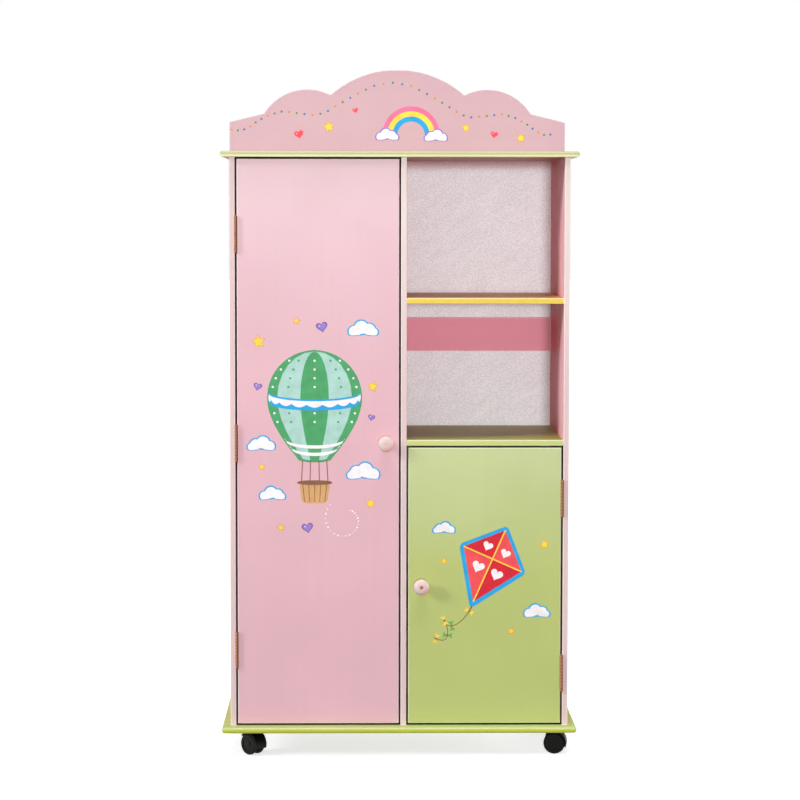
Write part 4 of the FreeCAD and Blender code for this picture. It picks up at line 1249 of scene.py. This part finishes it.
# Distant lights: azimuth off the front, height and softness in degrees, and whether they show in gloss
SUNS = {
    "front": (1, 1, 6, False),
    "back": (180, 18, 24, False),
    "side": (-66, 22, 12, True),
    "fill": (88, 12, 16, True),
    "top": (0, 80, 30, True),
}
# Square lamp and camera, in metres, and the sensor in millimetres
LAMP_PLACE = Vector((-0.5, -2.4, 1.5))
LAMP_TARGET = Vector((-0.1, -0.2, 0.9))
LAMP_SIDE = 1.4
SENSOR_WIDTH = 36.0
FARTHEST_VIEW = 100.0


class WARDROBE_OT_set_stage(bpy.types.Operator):
    """Lay the pale floor, set the soft light and place the camera"""
    bl_idname = "wardrobe.set_stage"
    bl_label = "Set the stage"

    def execute(self, context):
        studio = context.scene.studio
        context.scene.view_settings.view_transform = "Standard"
        self.floor(studio)
        self.room(context.scene, studio)
        self.suns(studio)
        lamp = self.light("AREA", "upper_lamp", studio.lamp_power, LAMP_PLACE - LAMP_TARGET)
        lamp.location = LAMP_PLACE
        lamp.data.size = LAMP_SIDE
        self.camera(context.scene, studio)
        return {"FINISHED"}

    def floor(self, studio):
        """Wide round floor under the casters."""
        deselect()
        bpy.ops.mesh.primitive_circle_add(vertices=96, radius=studio.floor_radius, fill_type="NGON")
        floor = bpy.context.object
        floor.name = "studio_floor"
        finish = Finish("pale_floor", {"Emission Strength": studio.floor_glow, "Emission Color": WHITE})
        mottle = finish.noise(scale=1.2, detail=3.0)
        finish.feed("Base Color", finish.mottled(mottle, studio.floor_tone, darkest=0.985, lightest=1.0))
        finish.feed("Roughness", 0.7 + mottle.swing(0.1))
        floor.data.materials.append(finish.material)
        floor.visible_diffuse = False

    def room(self, scene, studio):
        """Even white light from all round, and a white background."""
        world = bpy.data.worlds.new("white_room")
        world.use_nodes = True
        tree = world.node_tree
        tree.nodes.clear()
        ends = tree.nodes.new("ShaderNodeOutputWorld")
        path = tree.nodes.new("ShaderNodeLightPath")
        mix = tree.nodes.new("ShaderNodeMixShader")
        tree.links.new(path.outputs["Is Camera Ray"], mix.inputs["Fac"])
        for socket, strength in enumerate((studio.room_strength, 1.0), start=1):
            glow = tree.nodes.new("ShaderNodeBackground")
            glow.inputs["Color"].default_value = WHITE
            glow.inputs["Strength"].default_value = strength
            tree.links.new(glow.outputs["Background"], mix.inputs[socket])
        tree.links.new(mix.outputs["Shader"], ends.inputs["Surface"])
        scene.world = world

    def suns(self, studio):
        """Distant soft lights."""
        for name, (azimuth, height, softness, in_gloss) in SUNS.items():
            heading = math.radians(azimuth)
            level = math.cos(math.radians(height))
            rise = math.sin(math.radians(height))
            source = Vector((math.sin(heading) * level, -math.cos(heading) * level, rise))
            lamp = self.light("SUN", name + "_light", getattr(studio, name + "_strength"), source)
            lamp.data.angle = math.radians(softness)
            lamp.visible_glossy = in_gloss

    def light(self, kind, name, energy, source):
        """New light of a kind that shines from the direction of its source."""
        deselect()
        bpy.ops.object.light_add(type=kind)
        lamp = bpy.context.object
        lamp.name = name
        lamp.data.energy = energy
        lamp.rotation_euler = source.to_track_quat("Z", "Y").to_euler()
        return lamp

    def camera(self, scene, studio):
        """Camera at the photograph's place and angle."""
        deselect()
        bpy.ops.object.camera_add()
        camera = bpy.context.object
        camera.name = "photo_camera"
        camera.data.lens = studio.focal_length
        camera.data.sensor_width = SENSOR_WIDTH
        camera.data.clip_end = FARTHEST_VIEW
        upright = Matrix.Rotation(math.pi / 2 - studio.camera_pitch, 4, "X")
        heading = Matrix.Rotation(-studio.camera_yaw, 4, "Z")
        roll = Matrix.Rotation(-studio.camera_roll, 4, "Z")
        camera.matrix_world = Matrix.Translation(studio.camera_place) @ heading @ upright @ roll
        scene.camera = camera


class WARDROBE_PT_panel(bpy.types.Panel):
    """Sidebar panel with the steps that dress the wardrobe"""
    bl_idname = "WARDROBE_PT_panel"
    bl_label = "Kids wardrobe"
    bl_space_type = "VIEW_3D"
    bl_region_type = "UI"
    bl_category = "Wardrobe"

    def draw(self, context):
        for operator in OPERATORS:
            self.layout.operator(operator.bl_idname)
        for group, kind in SETTINGS.items():
            box = self.layout.box()
            box.label(text=kind.__doc__)
            for value in kind.__annotations__:
                box.prop(getattr(context.scene, group), value)


OPERATORS = (
    WARDROBE_OT_paint_boards,
    WARDROBE_OT_finish_hardware,
    WARDROBE_OT_paint_balloon,
    WARDROBE_OT_paint_tall_door_sky,
    WARDROBE_OT_paint_kite,
    WARDROBE_OT_paint_headboard,
    WARDROBE_OT_set_stage,
)
CLASSES = (*SETTINGS.values(), *OPERATORS, WARDROBE_PT_panel)


def register():
    for cls in CLASSES:
        bpy.utils.register_class(cls)
    for group, kind in SETTINGS.items():
        setattr(bpy.types.Scene, group, bpy.props.PointerProperty(type=kind))


def unregister():
    for group in SETTINGS:
        delattr(bpy.types.Scene, group)
    for cls in reversed(CLASSES):
        bpy.utils.unregister_class(cls)


def main():
    register()
    bpy.ops.wardrobe.paint_boards()
    bpy.ops.wardrobe.finish_hardware()
    bpy.ops.wardrobe.paint_balloon()
    bpy.ops.wardrobe.paint_tall_door_sky()
    bpy.ops.wardrobe.paint_kite()
    bpy.ops.wardrobe.paint_headboard()
    bpy.ops.wardrobe.set_stage()


if __name__ == "__main__":
    main()
